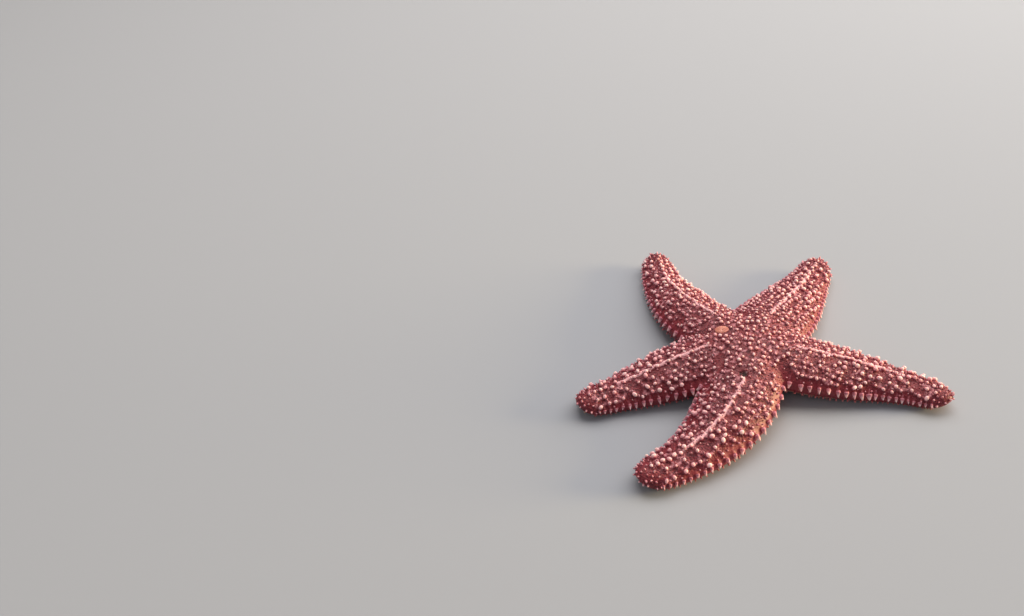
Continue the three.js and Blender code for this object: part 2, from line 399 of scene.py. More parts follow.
class Bench:
    """The modelling bench, where Blender's operators work on one object at a time."""

    @staticmethod
    def clear() -> None:
        """Leaves edit mode and deselects everything."""
        if bpy.context.object and bpy.context.object.mode != "OBJECT":
            bpy.ops.object.mode_set(mode="OBJECT")
        for thing in bpy.context.selected_objects:
            thing.select_set(False)

    @staticmethod
    def pick(piece: Piece) -> None:
        """Selects one object alone and makes it active.

        Args:
            piece: the object.
        """
        Bench.clear()
        piece.select_set(True)
        bpy.context.view_layer.objects.active = piece

    @staticmethod
    def named(name: str) -> Piece:
        """Names the active object and its mesh, and returns it.

        Args:
            name: the new name.

        Returns:
            The object.
        """
        piece = bpy.context.object
        piece.name = name
        piece.data.name = name
        return piece

    @staticmethod
    def turned(name: str, sides: int, outline: Sequence[Pair]) -> Piece:
        """Draws a filled circle up ring by ring into a closed solid round Z, with a pointed cap.

        Args:
            name: the object's name.
            sides: corners of each ring.
            outline: radius and height of each ring, from the foot up.

        Returns:
            The solid, with its faces outwards and laid out flat on its own map.
        """
        Bench.clear()
        radius, height = outline[0]
        bpy.ops.mesh.primitive_circle_add(
            vertices=sides, radius=radius, fill_type="NGON", location=(0, 0, height)
        )
        piece = Bench.named(name)
        bpy.ops.object.transform_apply(location=True, rotation=False, scale=False)
        bpy.ops.object.mode_set(mode="EDIT")
        for next_radius, next_height in outline[1:]:
            rise = (0, 0, next_height - height)
            bpy.ops.mesh.extrude_region_move(TRANSFORM_OT_translate={"value": rise})
            ratio = next_radius / radius
            bpy.ops.transform.resize(value=(ratio, ratio, 1), center_override=(0, 0, next_height))
            radius, height = next_radius, next_height
        bpy.ops.mesh.poke()
        bpy.ops.mesh.select_all(action="SELECT")
        bpy.ops.mesh.normals_make_consistent(inside=False)
        bpy.ops.uv.smart_project(island_margin=0.02)
        bpy.ops.object.mode_set(mode="OBJECT")
        return piece

    @staticmethod
    def apply(piece: Piece, kind: str, **settings: object) -> None:
        """Adds a modifier with its settings and applies it.

        Args:
            piece: the object to change.
            kind: Blender's name for the modifier.
            settings: the modifier's properties.
        """
        Bench.pick(piece)
        modifier = piece.modifiers.new(kind.lower(), kind)
        for key, value in settings.items():
            setattr(modifier, key, value)
        bpy.ops.object.modifier_apply(modifier=modifier.name)

    @staticmethod
    def read(rows: bpy.types.bpy_prop_collection, key: str, kind: type, width: int = 1) -> Array:
        """Reads one property of a mesh's parts.

        Args:
            rows: the mesh's vertices, corners or faces.
            key: the property's name.
            kind: the numbers' type.
            width: how many numbers each part has.

        Returns:
            The numbers, (N,), or (N, width) where each part has several.
        """
        flat = np.empty(len(rows) * width, kind)
        rows.foreach_get(key, flat)
        return flat if width == 1 else flat.reshape(-1, width)

    @staticmethod
    def points_of(piece: Piece) -> Array:
        """Reads a mesh's vertices, (N, 3), as they are stored."""
        return Bench.read(piece.data.vertices, "co", np.float32, 3).astype(float)

    @staticmethod
    def place_points(piece: Piece, points: Array) -> None:
        """Writes a mesh's vertices, (N, 3)."""
        piece.data.vertices.foreach_set("co", points.astype(np.float32).ravel())
        piece.data.update()

    @staticmethod
    def normals_of(piece: Piece) -> Array:
        """Reads a mesh's vertex normals, (N, 3)."""
        return Bench.read(piece.data.vertex_normals, "vector", np.float32, 3).astype(float)

    @staticmethod
    def mark(piece: Piece, name: str, values: Array) -> None:
        """Stores a number at each vertex, under a name that a finish reads."""
        attribute = piece.data.attributes.new(name, "FLOAT", "POINT")
        attribute.data.foreach_set("value", values.astype(np.float32))

    @staticmethod
    def hand_over(piece: Piece, material: bpy.types.Material, slot: str) -> None:
        """Gives a finished piece its material and its place on the body.

        Args:
            piece: the piece, in the frame's metres.
            material: its finish.
            slot: not used.
        """
        piece.data.materials.clear()
        piece.data.materials.append(material)
        piece.data.shade_smooth()
        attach(piece, "root")
        mesh = piece.data
        LOG.info("%s: %d vertices, %d faces", piece.name, len(mesh.vertices), len(mesh.polygons))


# ---- Finishes --------------------------------------------------------------------------------


def linear(hex_colour: str) -> tuple[float, float, float, float]:
    """Turns an sRGB hex colour, such as "#8a3540", into Blender's linear one."""
    parts = [int(hex_colour[i : i + 2], 16) / 255 for i in (1, 3, 5)]
    return (*[p / 12.92 if p <= 0.04045 else ((p + 0.055) / 1.055) ** 2.4 for p in parts], 1.0)


def add_node(
    tree: Tree, kind: str, inputs: dict[str | int, object] | None = None, **settings: object
) -> bpy.types.Node:
    """Adds a node with its settings, its fixed values and its links.

    Args:
        tree: the material's nodes.
        kind: the node's type, such as "TexNoise".
        inputs: for each input, a socket to link from or a value to set.
        settings: the node's own properties.

    Returns:
        The new node.
    """
    node = tree.nodes.new(f"ShaderNode{kind}")
    for key, value in settings.items():
        setattr(node, key, value)
    for key, value in (inputs or {}).items():
        if isinstance(value, Socket):
            tree.links.new(value, node.inputs[key])
        else:
            node.inputs[key].default_value = value
    return node


class Finish:
    """What all surfaces of the animal share: a coloured body under a film of water."""

    name: str
    roughness: float
    coat: float
    glow: float
    grain_mm: float
    grain_rise_mm: float
    COAT_ROUGHNESS = 0.32
    WATER_IOR = 1.33
    SPECULAR = 0.3  # under water's film, flesh glints less than in dry air
    GLOW_RADIUS = (1.0, 0.35, 0.25)  # red light travels farthest through flesh
    GLOW_SCALE = 0.6 * MM

    def colour(self, tree: Tree) -> Socket:
        """Builds the colour's nodes and returns their last socket."""
        raise NotImplementedError

    def relief(self, tree: Tree, below: Socket | None = None) -> Socket:
        """Raises the fine grain, on a coarser bump if one is given, and returns the normal."""
        return self.bump(tree, self.grain(tree, self.grain_mm), self.grain_rise_mm, below)

    def make(self) -> bpy.types.Material:
        """Makes the material.

        Returns:
            The material, ready for a piece.
        """
        material = bpy.data.materials.new(self.name)
        material.use_nodes = True
        tree = material.node_tree
        shader = tree.nodes["Principled BSDF"]
        shader.inputs["Roughness"].default_value = self.roughness
        shader.inputs["Specular IOR Level"].default_value = self.SPECULAR
        shader.inputs["Coat Weight"].default_value = self.coat
        shader.inputs["Coat Roughness"].default_value = self.COAT_ROUGHNESS
        shader.inputs["Coat IOR"].default_value = self.WATER_IOR
        shader.inputs["Subsurface Weight"].default_value = self.glow
        shader.inputs["Subsurface Radius"].default_value = self.GLOW_RADIUS
        shader.inputs["Subsurface Scale"].default_value = self.GLOW_SCALE
        tree.links.new(self.colour(tree), shader.inputs["Base Color"])
        tree.links.new(self.relief(tree), shader.inputs["Normal"])
        return material

    @staticmethod
    def mark(tree: Tree, name: str) -> Socket:
        """Reads a number stored on the mesh."""
        return add_node(tree, "Attribute", attribute_name=name).outputs["Fac"]

    @staticmethod
    def grain(tree: Tree, size_mm: float, detail: float = 3.0) -> Socket:
        """Makes soft patches of a given size, from 0 to 1.

        Args:
            tree: the material's nodes.
            size_mm: width of a patch.
            detail: how many finer layers it holds.

        Returns:
            The socket with the pattern.
        """
        place = add_node(tree, "TexCoord").outputs["Object"]
        inputs = {"Vector": place, "Scale": 1 / (size_mm * MM), "Detail": detail}
        return add_node(tree, "TexNoise", inputs).outputs["Fac"]

    @staticmethod
    def blend(tree: Tree, share: Socket, first: object, second: object) -> Socket:
        """Mixes two colours, each a socket or an sRGB hex value.

        Args:
            tree: the material's nodes.
            share: how much of the second shows.
            first: a socket or an sRGB hex value.
            second: the same.

        Returns:
            The mixed colour's socket.
        """
        ends = [linear(end) if isinstance(end, str) else end for end in (first, second)]
        node = add_node(tree, "Mix", {0: share, 6: ends[0], 7: ends[1]}, data_type="RGBA")
        return node.outputs[2]

    @staticmethod
    def ramp(tree: Tree, value: Socket, low: float, high: float) -> Socket:
        """Stretches a number so that low gives 0 and high gives 1, with soft ends.

        Args:
            tree: the material's nodes.
            value: the number.
            low: what gives 0.
            high: what gives 1.

        Returns:
            The stretched number's socket.
        """
        inputs = {"Value": value, "From Min": low, "From Max": high}
        node = add_node(tree, "MapRange", inputs, interpolation_type="SMOOTHSTEP")
        return node.outputs["Result"]

    @staticmethod
    def product(tree: Tree, first: Socket, second: Socket) -> Socket:
        """Multiplies two numbers."""
        return add_node(tree, "Math", {0: first, 1: second}, operation="MULTIPLY").outputs[0]

    @staticmethod
    def bump(tree: Tree, height: Socket, depth_mm: float, below: Socket | None = None) -> Socket:
        """Raises a bump.

        Args:
            tree: the material's nodes.
            height: the pattern, from 0 to 1.
            depth_mm: how high a value of 1 stands.
            below: a normal to start from.

        Returns:
            The normal's socket.
        """
        inputs = {"Height": height, "Distance": depth_mm * MM, "Strength": 1.0}
        if below:
            inputs["Normal"] = below
        return add_node(tree, "Bump", inputs).outputs["Normal"]


@dataclass(frozen=True)
class WetHide(Finish):
    """Living skin over a limy mesh: dark and spongy in the pits, paler where the mesh lifts it."""

    name: str = "wet granular sea star skin"
    roughness: float = 0.5
    coat: float = 0.12
    glow: float = 0.08
    patch_mm: float = 9.0
    speck_mm: float = 0.7
    web_gap_mm: float = 1.8
    ridge_gap_mm: float = 2.4
    granule_mm: float = 0.6
    granule_rise_mm: float = 0.13
    grain_mm: float = 0.25
    grain_rise_mm: float = 0.02
    pit: str = "#5a1c28"
    pit_red: str = "#74222c"
    flesh: str = "#90383f"
    web: str = "#c6828a"
    mound: str = "#cc868e"
    ridge: str = "#f0b8bc"
    flank: str = "#7e2632"
    bar: str = "#c47680"
    sole: str = "#c4937e"
    spot: str = "#34201c"
    eye: str = "#c01818"

    def colour(self, tree: Tree) -> Socket:
        """Mottled maroon pits, then layers: dusty pink web, pale ridge, tan sole, dark spot.

        Args:
            tree: the material's nodes.

        Returns:
            The colour's socket.
        """
        patches = self.ramp(tree, self.grain(tree, self.patch_mm), 0.38, 0.62)
        specks = self.ramp(tree, self.grain(tree, self.speck_mm, detail=2.0), 0.42, 0.66)
        pits = self.blend(tree, patches, self.pit, self.pit_red)
        flesh = self.blend(tree, specks, pits, self.flesh)
        flank = self.blend(tree, specks, self.flank, self.flesh)
        colour = self.blend(tree, self.mark(tree, "flank"), flesh, flank)
        worn = self.ramp(tree, self.grain(tree, self.web_gap_mm), 0.32, 0.6)
        nearly_whole = self.ramp(tree, self.grain(tree, self.ridge_gap_mm), 0.22, 0.4)
        layers = (  # the mark, where it starts and is full, the colour, and what breaks it up
            ("web", 0.2, 1.0, self.web, worn),
            ("bar", 0.2, 1.2, self.bar, worn),
            ("mound", 0.3, 1.2, self.mound, worn),
            ("ridge", 0.25, 0.9, self.ridge, nearly_whole),
            ("sole", 0.0, 1.0, self.sole, None),
            ("spot", 0.0, 1.0, self.spot, None),
            ("eye", 0.0, 1.0, self.eye, None),
        )
        for name, low, high, tone, broken in layers:
            share = self.ramp(tree, self.mark(tree, name), low, high)
            if broken:
                share = self.product(tree, share, broken)
            colour = self.blend(tree, share, colour, tone)
        return colour

    def relief(self, tree: Tree, below: Socket | None = None) -> Socket:
        """Rounded granules, flatter on the flanks, with a finer grain on them.

        Args:
            tree: the material's nodes.
            below: a normal to start from.

        Returns:
            The normal's socket.
        """
        place = add_node(tree, "TexCoord").outputs["Object"]
        inputs = {"Vector": place, "Scale": 1 / (self.granule_mm * MM)}
        cells = add_node(tree, "TexVoronoi", inputs, feature="SMOOTH_F1").outputs["Distance"]
        domes = self.ramp(tree, cells, 0.8, 0.0)
        off_flank = self.ramp(tree, self.mark(tree, "flank"), 1.2, 0.0)
        granules = self.product(tree, domes, off_flank)
        return super().relief(tree, self.bump(tree, granules, self.granule_rise_mm, below))


@dataclass(frozen=True)
class LimyKnob(Finish):
    """Limestone spine under a thin living skin: pale, rubbed head on a flesh-coloured stalk."""

    name: str = "pale limy spine under wet skin"
    roughness: float = 0.5
    coat: float = 0.16
    glow: float = 0.22
    grain_mm: float = 0.3  # chalky
    grain_rise_mm: float = 0.04
    foot: str = "#903a4c"
    stalk: str = "#d08a92"
    head: str = "#f0b0b4"
    rubbed: str = "#f9d2d0"

    def colour(self, tree: Tree) -> Socket:
        """Runs from flesh at the foot to a pale head, with each spine a little different.

        Args:
            tree: the material's nodes.

        Returns:
            The colour's socket.
        """
        height = self.mark(tree, "height")
        tint = self.mark(tree, "tint")
        low = self.blend(tree, self.ramp(tree, height, 0.05, 0.45), self.foot, self.stalk)
        head = self.blend(tree, tint, self.head, self.rubbed)
        return self.blend(tree, self.ramp(tree, height, 0.25, 0.65), low, head)


@dataclass(frozen=True)
class SoftFlesh(Finish):
    """Soft small organs, such as gills, pincers and tube feet: one tint, paler towards the end."""

    name: str = "soft translucent flesh"
    roughness: float = 0.5
    coat: float = 0.15
    glow: float = 0.1
    grain_mm: float = 0.3  # faint wrinkles
    grain_rise_mm: float = 0.03
    root: str = "#662832"
    end: str = "#8c424a"

    def colour(self, tree: Tree) -> Socket:
        """Runs from the root's colour to the end's, shifted by each organ's tint."""
        lifted = self.product(tree, self.mark(tree, "height"), self.mark(tree, "tint"))
        return self.blend(tree, self.ramp(tree, lifted, 0.0, 0.8), self.root, self.end)


@dataclass(frozen=True)
class SieveLime(Finish):
    """The sieve plate's bare orange limestone, darker in its furrows as painted shade."""

    name: str = "orange furrowed limestone"
    roughness: float = 0.5
    coat: float = 0.35
    glow: float = 0.15
    mottle_mm: float = 1.2
    grain_mm: float = 0.25  # stony
    grain_rise_mm: float = 0.04
    ridge: str = "#eeaa98"
    pale: str = "#e0937e"
    # the furrows' darker tone: painted shade, not a colour of the stone
    furrow: str = "#c87a66"

    def colour(self, tree: Tree) -> Socket:
        """Pale orange on the ridges, and a darker tone in the furrows as painted shade.

        Args:
            tree: the material's nodes.

        Returns:
            The colour's socket.
        """
        mottle = self.ramp(tree, self.grain(tree, self.mottle_mm), 0.3, 0.7)
        ridge = self.blend(tree, mottle, self.ridge, self.pale)
        raised = self.ramp(tree, self.mark(tree, "ridge"), 0.2, 0.8)
        # where the ridge mark is low, in the furrows, the painted shade shows
        return self.blend(tree, raised, self.furrow, ridge)


# ---- The skin --------------------------------------------------------------------------------


@dataclass(frozen=True)
class Welt:
    """A raised line in the skin: its mark's name, its points, how high it stands and how wide."""

    name: str
    points: Array
    rise: float
    reach: float


@dataclass
class Skin:
    """One continuous skin over disc and arms, with the grooves and the mouth underneath."""

    sides: int = 32
    stations: int = 22
    voxel: float = 0.515
    knit: float = 0.8  # voxel of the first, rough joining
    ring_crowding: float = 1.5  # over 1, rings crowd to the round end
    crease_smoothing: int = 14
    crease_span: Pair = (12.0, 30.0)  # from the centre, where it fades out
    knob_mound: float = 0.32
    knob_reach: float = 0.95
    spot_depth: float = 1.1
    flank_share: Pair = (0.72, 0.9)  # of the half-width
    flank_level: Pair = (0.03, 0.15)  # of the depth
    flank_end: Pair = (0.75, 0.95)  # of the length, where it fades out
    sole_facing: Pair = (0.4, 0.8)  # how squarely the skin faces down
    eye_size: Pair = (0.5, 1.0)
    eye_angle: float = -0.4  # round the section, just under the margin
    piece: Piece | None = None
    tree: BVHTree | None = None

    def station_shares(self) -> Array:
        """Gives the shares of an arm's length where its rings stand, crowding to the round end."""
        return 1 - (1 - np.linspace(0, 1, self.stations)) ** self.ring_crowding

    def arm(self, shape: ArmShape) -> Piece:
        """Extrudes an arm ring by ring along its line.

        Args:
            shape: the arm's line and form.

        Returns:
            A closed tube, in millimetres from the disc's centre.
        """
        Bench.clear()
        bpy.ops.mesh.primitive_circle_add(vertices=self.sides, radius=1, fill_type="NGON")
        piece = Bench.named(f"flesh_{shape.name.value}")
        shares = self.station_shares()
        angles = 2 * math.pi * np.arange(self.sides) / self.sides
        ring = shape.skin_at(np.zeros(self.sides), angles)
        Bench.place_points(piece, ring)
        bpy.ops.object.mode_set(mode="EDIT")
        bpy.ops.mesh.select_all(action="SELECT")
        axis = shape.axis_at(shares)
        headings = shape.heading_at(shares)
        half_widths, crests, soles = shape.form_at(shares)
        depths = crests - soles
        for i in range(1, self.stations):
            here = Vector((*axis[i], soles[i]))
            step = here - Vector((*axis[i - 1], soles[i - 1]))
            bpy.ops.mesh.extrude_region_move(TRANSFORM_OT_translate={"value": step})
            forward = Vector((math.cos(headings[i - 1]), math.sin(headings[i - 1]), 0.0))
            beside = Vector((forward.y, -forward.x, 0.0))
            bpy.ops.transform.resize(
                value=(half_widths[i] / half_widths[i - 1], 1.0, depths[i] / depths[i - 1]),
                orient_type="GLOBAL",
                orient_matrix=(beside, forward, Vector((0.0, 0.0, 1.0))),
                orient_matrix_type="GLOBAL",
                center_override=here,
            )
            turn = headings[i - 1] - headings[i]  # with no window, rotate turns clockwise
            bpy.ops.transform.rotate(value=turn, orient_axis="Z", center_override=here)
        bpy.ops.mesh.select_all(action="SELECT")
        bpy.ops.mesh.normals_make_consistent(inside=False)
        bpy.ops.object.mode_set(mode="OBJECT")
        return piece

    def join_arms(self) -> Piece:
        """Joins the arms into one closed body and softens the creases between them.

        Returns:
            The body, in millimetres.
        """
        arms = [self.arm(shape) for shape in ARMS]
        Bench.pick(arms[0])
        for arm in arms[1:]:
            arm.select_set(True)
        bpy.ops.object.join()
        body = Bench.named("skin")
        Bench.apply(body, "REMESH", mode="VOXEL", voxel_size=self.knit)
        reach = np.linalg.norm(Bench.points_of(body)[:, :2], axis=1)
        group = body.vertex_groups.new(name="creases")
        weights = 1 - smoothstep(reach, *self.crease_span)
        for index in np.flatnonzero(weights > 0.01):
            group.add([int(index)], float(weights[index]), "REPLACE")
        Bench.apply(
            body, "SMOOTH", factor=0.5, iterations=self.crease_smoothing, vertex_group="creases"
        )
        return body

    @staticmethod
    def furrow(points: Array) -> Array:
        """Presses the grooves and the mouth up into the sole.

        Args:
            points: the body's vertices, (N, 3).

        Returns:
            The vertices' new places.
        """
        lift = np.zeros(len(points))
        low = points[:, 2] < MOUTH_CEILING
        for arm in ARMS:
            t, offset = arm.locate(points)
            share = np.clip(t / GROOVE_END, 0, 1)
            width = lerp(*GROOVE_HALF_WIDTH, share)
            fade = smoothstep(t, GROOVE_END + GROOVE_FADE[0], GROOVE_END - GROOVE_FADE[1])
            depth = lerp(*GROOVE_DEPTH, share) * fade
            profile = np.sqrt(np.clip(1 - (offset / width) ** 2, 0, 1))
            _, crest, sole = arm.form_at(np.clip(t, 0, 1))
            near_sole = points[:, 2] < sole + MARGIN_HEIGHT * GROOVE_CEILING * (crest - sole)
            lift = np.maximum(lift, np.where(near_sole & low & (t > 0), depth * profile, 0))
        reach = np.linalg.norm(points[:, :2], axis=1)
        funnel = 1 - smoothstep(reach, MOUTH_RADIUS[0] * MOUTH_ROOF, MOUTH_RADIUS[1])
        funnel = MOUTH_CEILING * funnel
        raised = np.where(low, np.maximum(points[:, 2] + lift, funnel), points[:, 2])
        return np.column_stack([points[:, :2], raised])

    def build(self) -> None:
        """Makes the bare body, ready for what grows from it."""
        body = self.join_arms()
        Bench.place_points(body, self.furrow(Bench.points_of(body)))
        Bench.apply(body, "REMESH", mode="VOXEL", voxel_size=self.voxel)
        Bench.apply(body, "SMOOTH", factor=0.5, iterations=2)
        points = Bench.points_of(body)
        points[:, 2] = np.maximum(points[:, 2], FLOOR_GAP)
        Bench.place_points(body, points)
        self.piece = body
        self.index()

    def index(self) -> None:
        """Makes the search tree that seats things on the skin."""
        mesh = self.piece.data
        points = [vertex.co.copy() for vertex in mesh.vertices]
        self.tree = BVHTree.FromPolygons(points, [tuple(face.vertices) for face in mesh.polygons])

    def seat(self, points: Array) -> tuple[Array, Array]:
        """Moves points on to the skin.

        Args:
            points: places near the skin, (N, 3).

        Returns:
            The nearest places on it, and its outward directions there.
        """
        found = [self.tree.find_nearest(point) for point in points]
        return np.array([hit[0] for hit in found]), np.array([hit[1] for hit in found])

    def swell(self, knobs: Array, sizes: Array, welts: Sequence[Welt]) -> None:
        """Raises the skin round each knob and along the limy welts, and marks both.

        Args:
            knobs: the knobs' roots, (N, 3).
            sizes: the knobs' sizes.
            welts: the raised lines.
        """
        points, normals = Bench.points_of(self.piece), Bench.normals_of(self.piece)
        tree = nearest_tree(knobs)
        found = [tree.find(point) for point in points]
        size = sizes[[hit[1] for hit in found]]
        near = np.exp(-((np.array([hit[2] for hit in found]) / (self.knob_reach * size)) ** 2))
        rise = near * size * self.knob_mound
        Bench.mark(self.piece, "mound", near)
        for welt in welts:
            line = np.exp(-((distances(points, welt.points) / welt.reach) ** 2))
            rise = rise + line * welt.rise
            Bench.mark(self.piece, welt.name, line)
        moved = points + normals * rise[:, None]
        moved[:, 2] = np.maximum(moved[:, 2], np.minimum(points[:, 2], FLOOR_GAP))
        Bench.place_points(self.piece, moved)
        self.index()

    def roof(self, places: Array) -> Array:
        """Finds how high the sole stands over the floor.

        Args:
            places: places on the floor, (N, 2).

        Returns:
            The lowest height of the skin over each.
        """
        up = Vector((0, 0, 1))
        hits = [self.tree.ray_cast(Vector((*place, -1.0)), up)[0] for place in places]
        return np.array([FLOOR_GAP if hit is None else hit.z for hit in hits])

    def dress(self, spots: Array, spot_size: float) -> None:
        """Marks the flanks, the sole, the dark spots and the arm ends' eyes, and hands over.

        Args:
            spots: centres of dark spots, (N, 3).
            spot_size: their radius.
        """
        points, normals = Bench.points_of(self.piece), Bench.normals_of(self.piece)
        where = Where.of(points)
        level = self.level_of(points, where)
        flank = smoothstep(where.share, *self.flank_share) * smoothstep(level, *self.flank_level)
        flank = flank * (1 - smoothstep(where.t, *self.flank_end))
        Bench.mark(self.piece, "flank", flank)
        Bench.mark(self.piece, "sole", smoothstep(-normals[:, 2], *self.sole_facing))
        spot = 1 - smoothstep(distances(points, spots), spot_size / 2, spot_size)
        Bench.mark(self.piece, "spot", spot)
        ends = [arm.skin_at(np.ones(1), np.full(1, self.eye_angle)) for arm in ARMS]
        to_ends = distances(points, np.concatenate(ends))
        Bench.mark(self.piece, "eye", 1 - smoothstep(to_ends, *self.eye_size))
        points = points - normals * (spot * self.spot_depth)[:, None]
        Bench.place_points(self.piece, to_frame(points))
        Bench.hand_over(self.piece, WetHide().make(), "skin")
        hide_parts("disc", *[shape.name.value for shape in ARMS])

    @staticmethod
    def level_of(points: Array, where: Where) -> Array:
        """Gives each point's height as a share of the body's depth there.

        Args:
            points: places, (N, 3).
            where: where they lie.

        Returns:
            A share for each, 0 at the sole.
        """
        levels = np.zeros(len(points))
        for index, arm in enumerate(ARMS):
            own = where.arm == index
            _, crest, sole = arm.form_at(np.clip(where.t[own], 0, ROUND_END_FROM))
            levels[own] = (points[own, 2] - sole) / (crest - sole)
        return levels


# ---- What grows from the skin ----------------------------------------------------------------


@dataclass
class Planting:
    """Places for one kind of small piece. Every field has one row for each copy."""

    roots: Array
    ups: Array
    sizes: Array
    lengths: Array

    def __len__(self) -> int:
        """Counts the copies."""
        return len(self.roots)

    def only(self, keep: Array) -> "Planting":
        """Keeps the copies that an index or a mask picks."""
        return Planting(self.roots[keep], self.ups[keep], self.sizes[keep], self.lengths[keep])

    def lifted(self, skin: Skin) -> "Planting":
        """Brings the roots up to the skin after it has swollen round them."""
        return Planting(skin.seat(self.roots)[0], self.ups, self.sizes, self.lengths)

    @staticmethod
    def together(plantings: Sequence["Planting"]) -> "Planting":
        """Puts several plantings into one."""
        fields = ("roots", "ups", "sizes", "lengths")
        return Planting(*[np.concatenate([getattr(p, f) for p in plantings]) for f in fields])

    @staticmethod
    def on(skin: Skin, points: Array, sizes: Array, lengths: Array, lean: Array) -> "Planting":
        """Seats copies on the skin.

        Args:
            skin: the body's skin.
            points: places near it, (N, 3).
            sizes: each copy's width, as a share of its model's.
            lengths: each copy's length, as a share of its model's.
            lean: directions added to the skin's own outward one, (N, 3).

        Returns:
            The planting.
        """
        roots, normals = skin.seat(points)
        return Planting(roots, unit(normals + lean), sizes, lengths)


@dataclass
class Sprig:
    """A small model, made once on the bench, with the arrays that its copies are made from."""

    OVAL = (0.78, 1.22)  # a copy's breadth one way, and its inverse the other
    PATCH = 0.003  # a copy's side on the map's unit square
    points: Array
    corners: Array
    starts: Array
    counts: Array
    map_places: Array
    height: Array

    @staticmethod
    def of(piece: Piece) -> "Sprig":
        """Reads a model into arrays and removes it.

        Args:
            piece: a model standing on the origin along +Z, in millimetres.

        Returns:
            The sprig.
        """
        mesh = piece.data
        points = Bench.points_of(piece)
        corners = Bench.read(mesh.loops, "vertex_index", np.int32)
        starts = Bench.read(mesh.polygons, "loop_start", np.int32)
        counts = Bench.read(mesh.polygons, "loop_total", np.int32)
        places = Bench.read(mesh.uv_layers.active.data, "uv", np.float32, 2)
        bpy.data.objects.remove(piece)
        height = np.clip(points[:, 2] / points[:, 2].max(), 0, 1)
        return Sprig(points, corners, starts, counts, places, height)

    def copies(self, name: str, planting: Planting, seed: int) -> Piece:
        """Makes one joined mesh of a copy at each place.

        Args:
            name: the piece's name.
            planting: where the copies stand.
            seed: sets the copies' turns and tints.

        Returns:
            The piece, in the frame's metres, with its marks and its OFBake map.
        """
        count, size = len(planting), len(self.points)
        dice = np.random.default_rng(seed)
        turns = dice.uniform(0, 2 * math.pi, count)
        tints = dice.random(count)
        ups = unit(planting.ups)
        sides = unit(np.cross(ups, np.where(np.abs(ups[:, 2:]) > 0.9, [1.0, 0.0, 0.0], UP)))
        others = np.cross(ups, sides)
        first = sides * np.cos(turns)[:, None] + others * np.sin(turns)[:, None]
        second = np.cross(ups, first)
        wide = planting.sizes[:, None, None]
        long = planting.lengths[:, None, None]
        oval = dice.uniform(*self.OVAL, (count, 1, 1))
        x, y, z = (self.points[None, :, axis, None] for axis in range(3))
        grown = (first[:, None] * x * oval + second[:, None] * y / oval) * wide
        grown = grown + ups[:, None] * z * long
        points = (grown + planting.roots[:, None]).reshape(-1, 3)
        points[:, 2] = np.maximum(points[:, 2], FLOOR_GAP)
        points = to_frame(points)
        shift = np.arange(count, dtype=np.int32)[:, None]
        corners = self.corners + shift * size
        starts = self.starts + shift * len(self.corners)
        mesh = bpy.data.meshes.new(name)
        mesh.vertices.add(len(points))
        mesh.vertices.foreach_set("co", points.astype(np.float32).ravel())
        mesh.loops.add(corners.size)
        mesh.loops.foreach_set("vertex_index", corners.ravel().astype(np.int32))
        mesh.polygons.add(starts.size)
        mesh.polygons.foreach_set("loop_start", starts.ravel().astype(np.int32))
        mesh.polygons.foreach_set("loop_total", np.tile(self.counts, count).astype(np.int32))
        mesh.update(calc_edges=True)
        homes = Where.of(planting.roots).unwrap(planting.roots[:, 2])
        laid = homes[:, None] + (self.map_places[None] - 0.5) * self.PATCH
        layer = mesh.uv_layers.new(name="OFBake")
        layer.data.foreach_set("uv", laid.astype(np.float32).ravel())
        piece = bpy.data.objects.new(name, mesh)
        bpy.context.scene.collection.objects.link(piece)
        Bench.mark(piece, "height", np.tile(self.height, count))
        Bench.mark(piece, "tint", np.repeat(tints, size))
        return piece


class SprigShape(Enum):
    """The small models: sides, and the radius and height of each ring in millimetres."""

    KNOB = (
        8,
        (
            (0.88, -0.5),
            (0.92, 0.0),
            (0.8, 0.35),
            (0.74, 0.7),
            (0.74, 1.0),
            (0.66, 1.28),
            (0.44, 1.48),
            (0.16, 1.56),
        ),
    )
    CONE = (
        8,
        (
            (0.82, -0.5),
            (0.86, 0.0),
            (0.72, 0.4),
            (0.62, 0.8),
            (0.52, 1.15),
            (0.34, 1.44),
            (0.12, 1.56),
        ),
    )
    TOOTH = (
        8,
        (
            (0.86, -0.5),
            (0.94, 0.0),
            (0.8, 0.45),
            (0.6, 0.9),
            (0.42, 1.4),
            (0.26, 1.85),
            (0.09, 2.1),
        ),
    )
    PEG = (6, ((0.36, -0.4), (0.38, 0.0), (0.36, 0.8), (0.34, 1.5), (0.22, 1.85), (0.08, 1.95)))
    PINCER = (4, ((0.14, -0.12), (0.2, 0.14), (0.12, 0.3)))
    GILL = (4, ((0.16, -0.15), (0.18, 0.16), (0.1, 0.3)))
    TUBE_FOOT = (
        8,
        (
            (0.42, -0.15),
            (0.4, 0.0),
            (0.34, 0.3),
            (0.33, 0.6),
            (0.36, 0.84),
            (0.52, 0.91),
            (0.56, 0.97),
            (0.3, 1.0),
        ),
    )

    def make(self) -> Sprig:
        """Models it on the bench."""
        sides, outline = self.value
        return Sprig.of(Bench.turned(self.name.lower(), sides, outline))


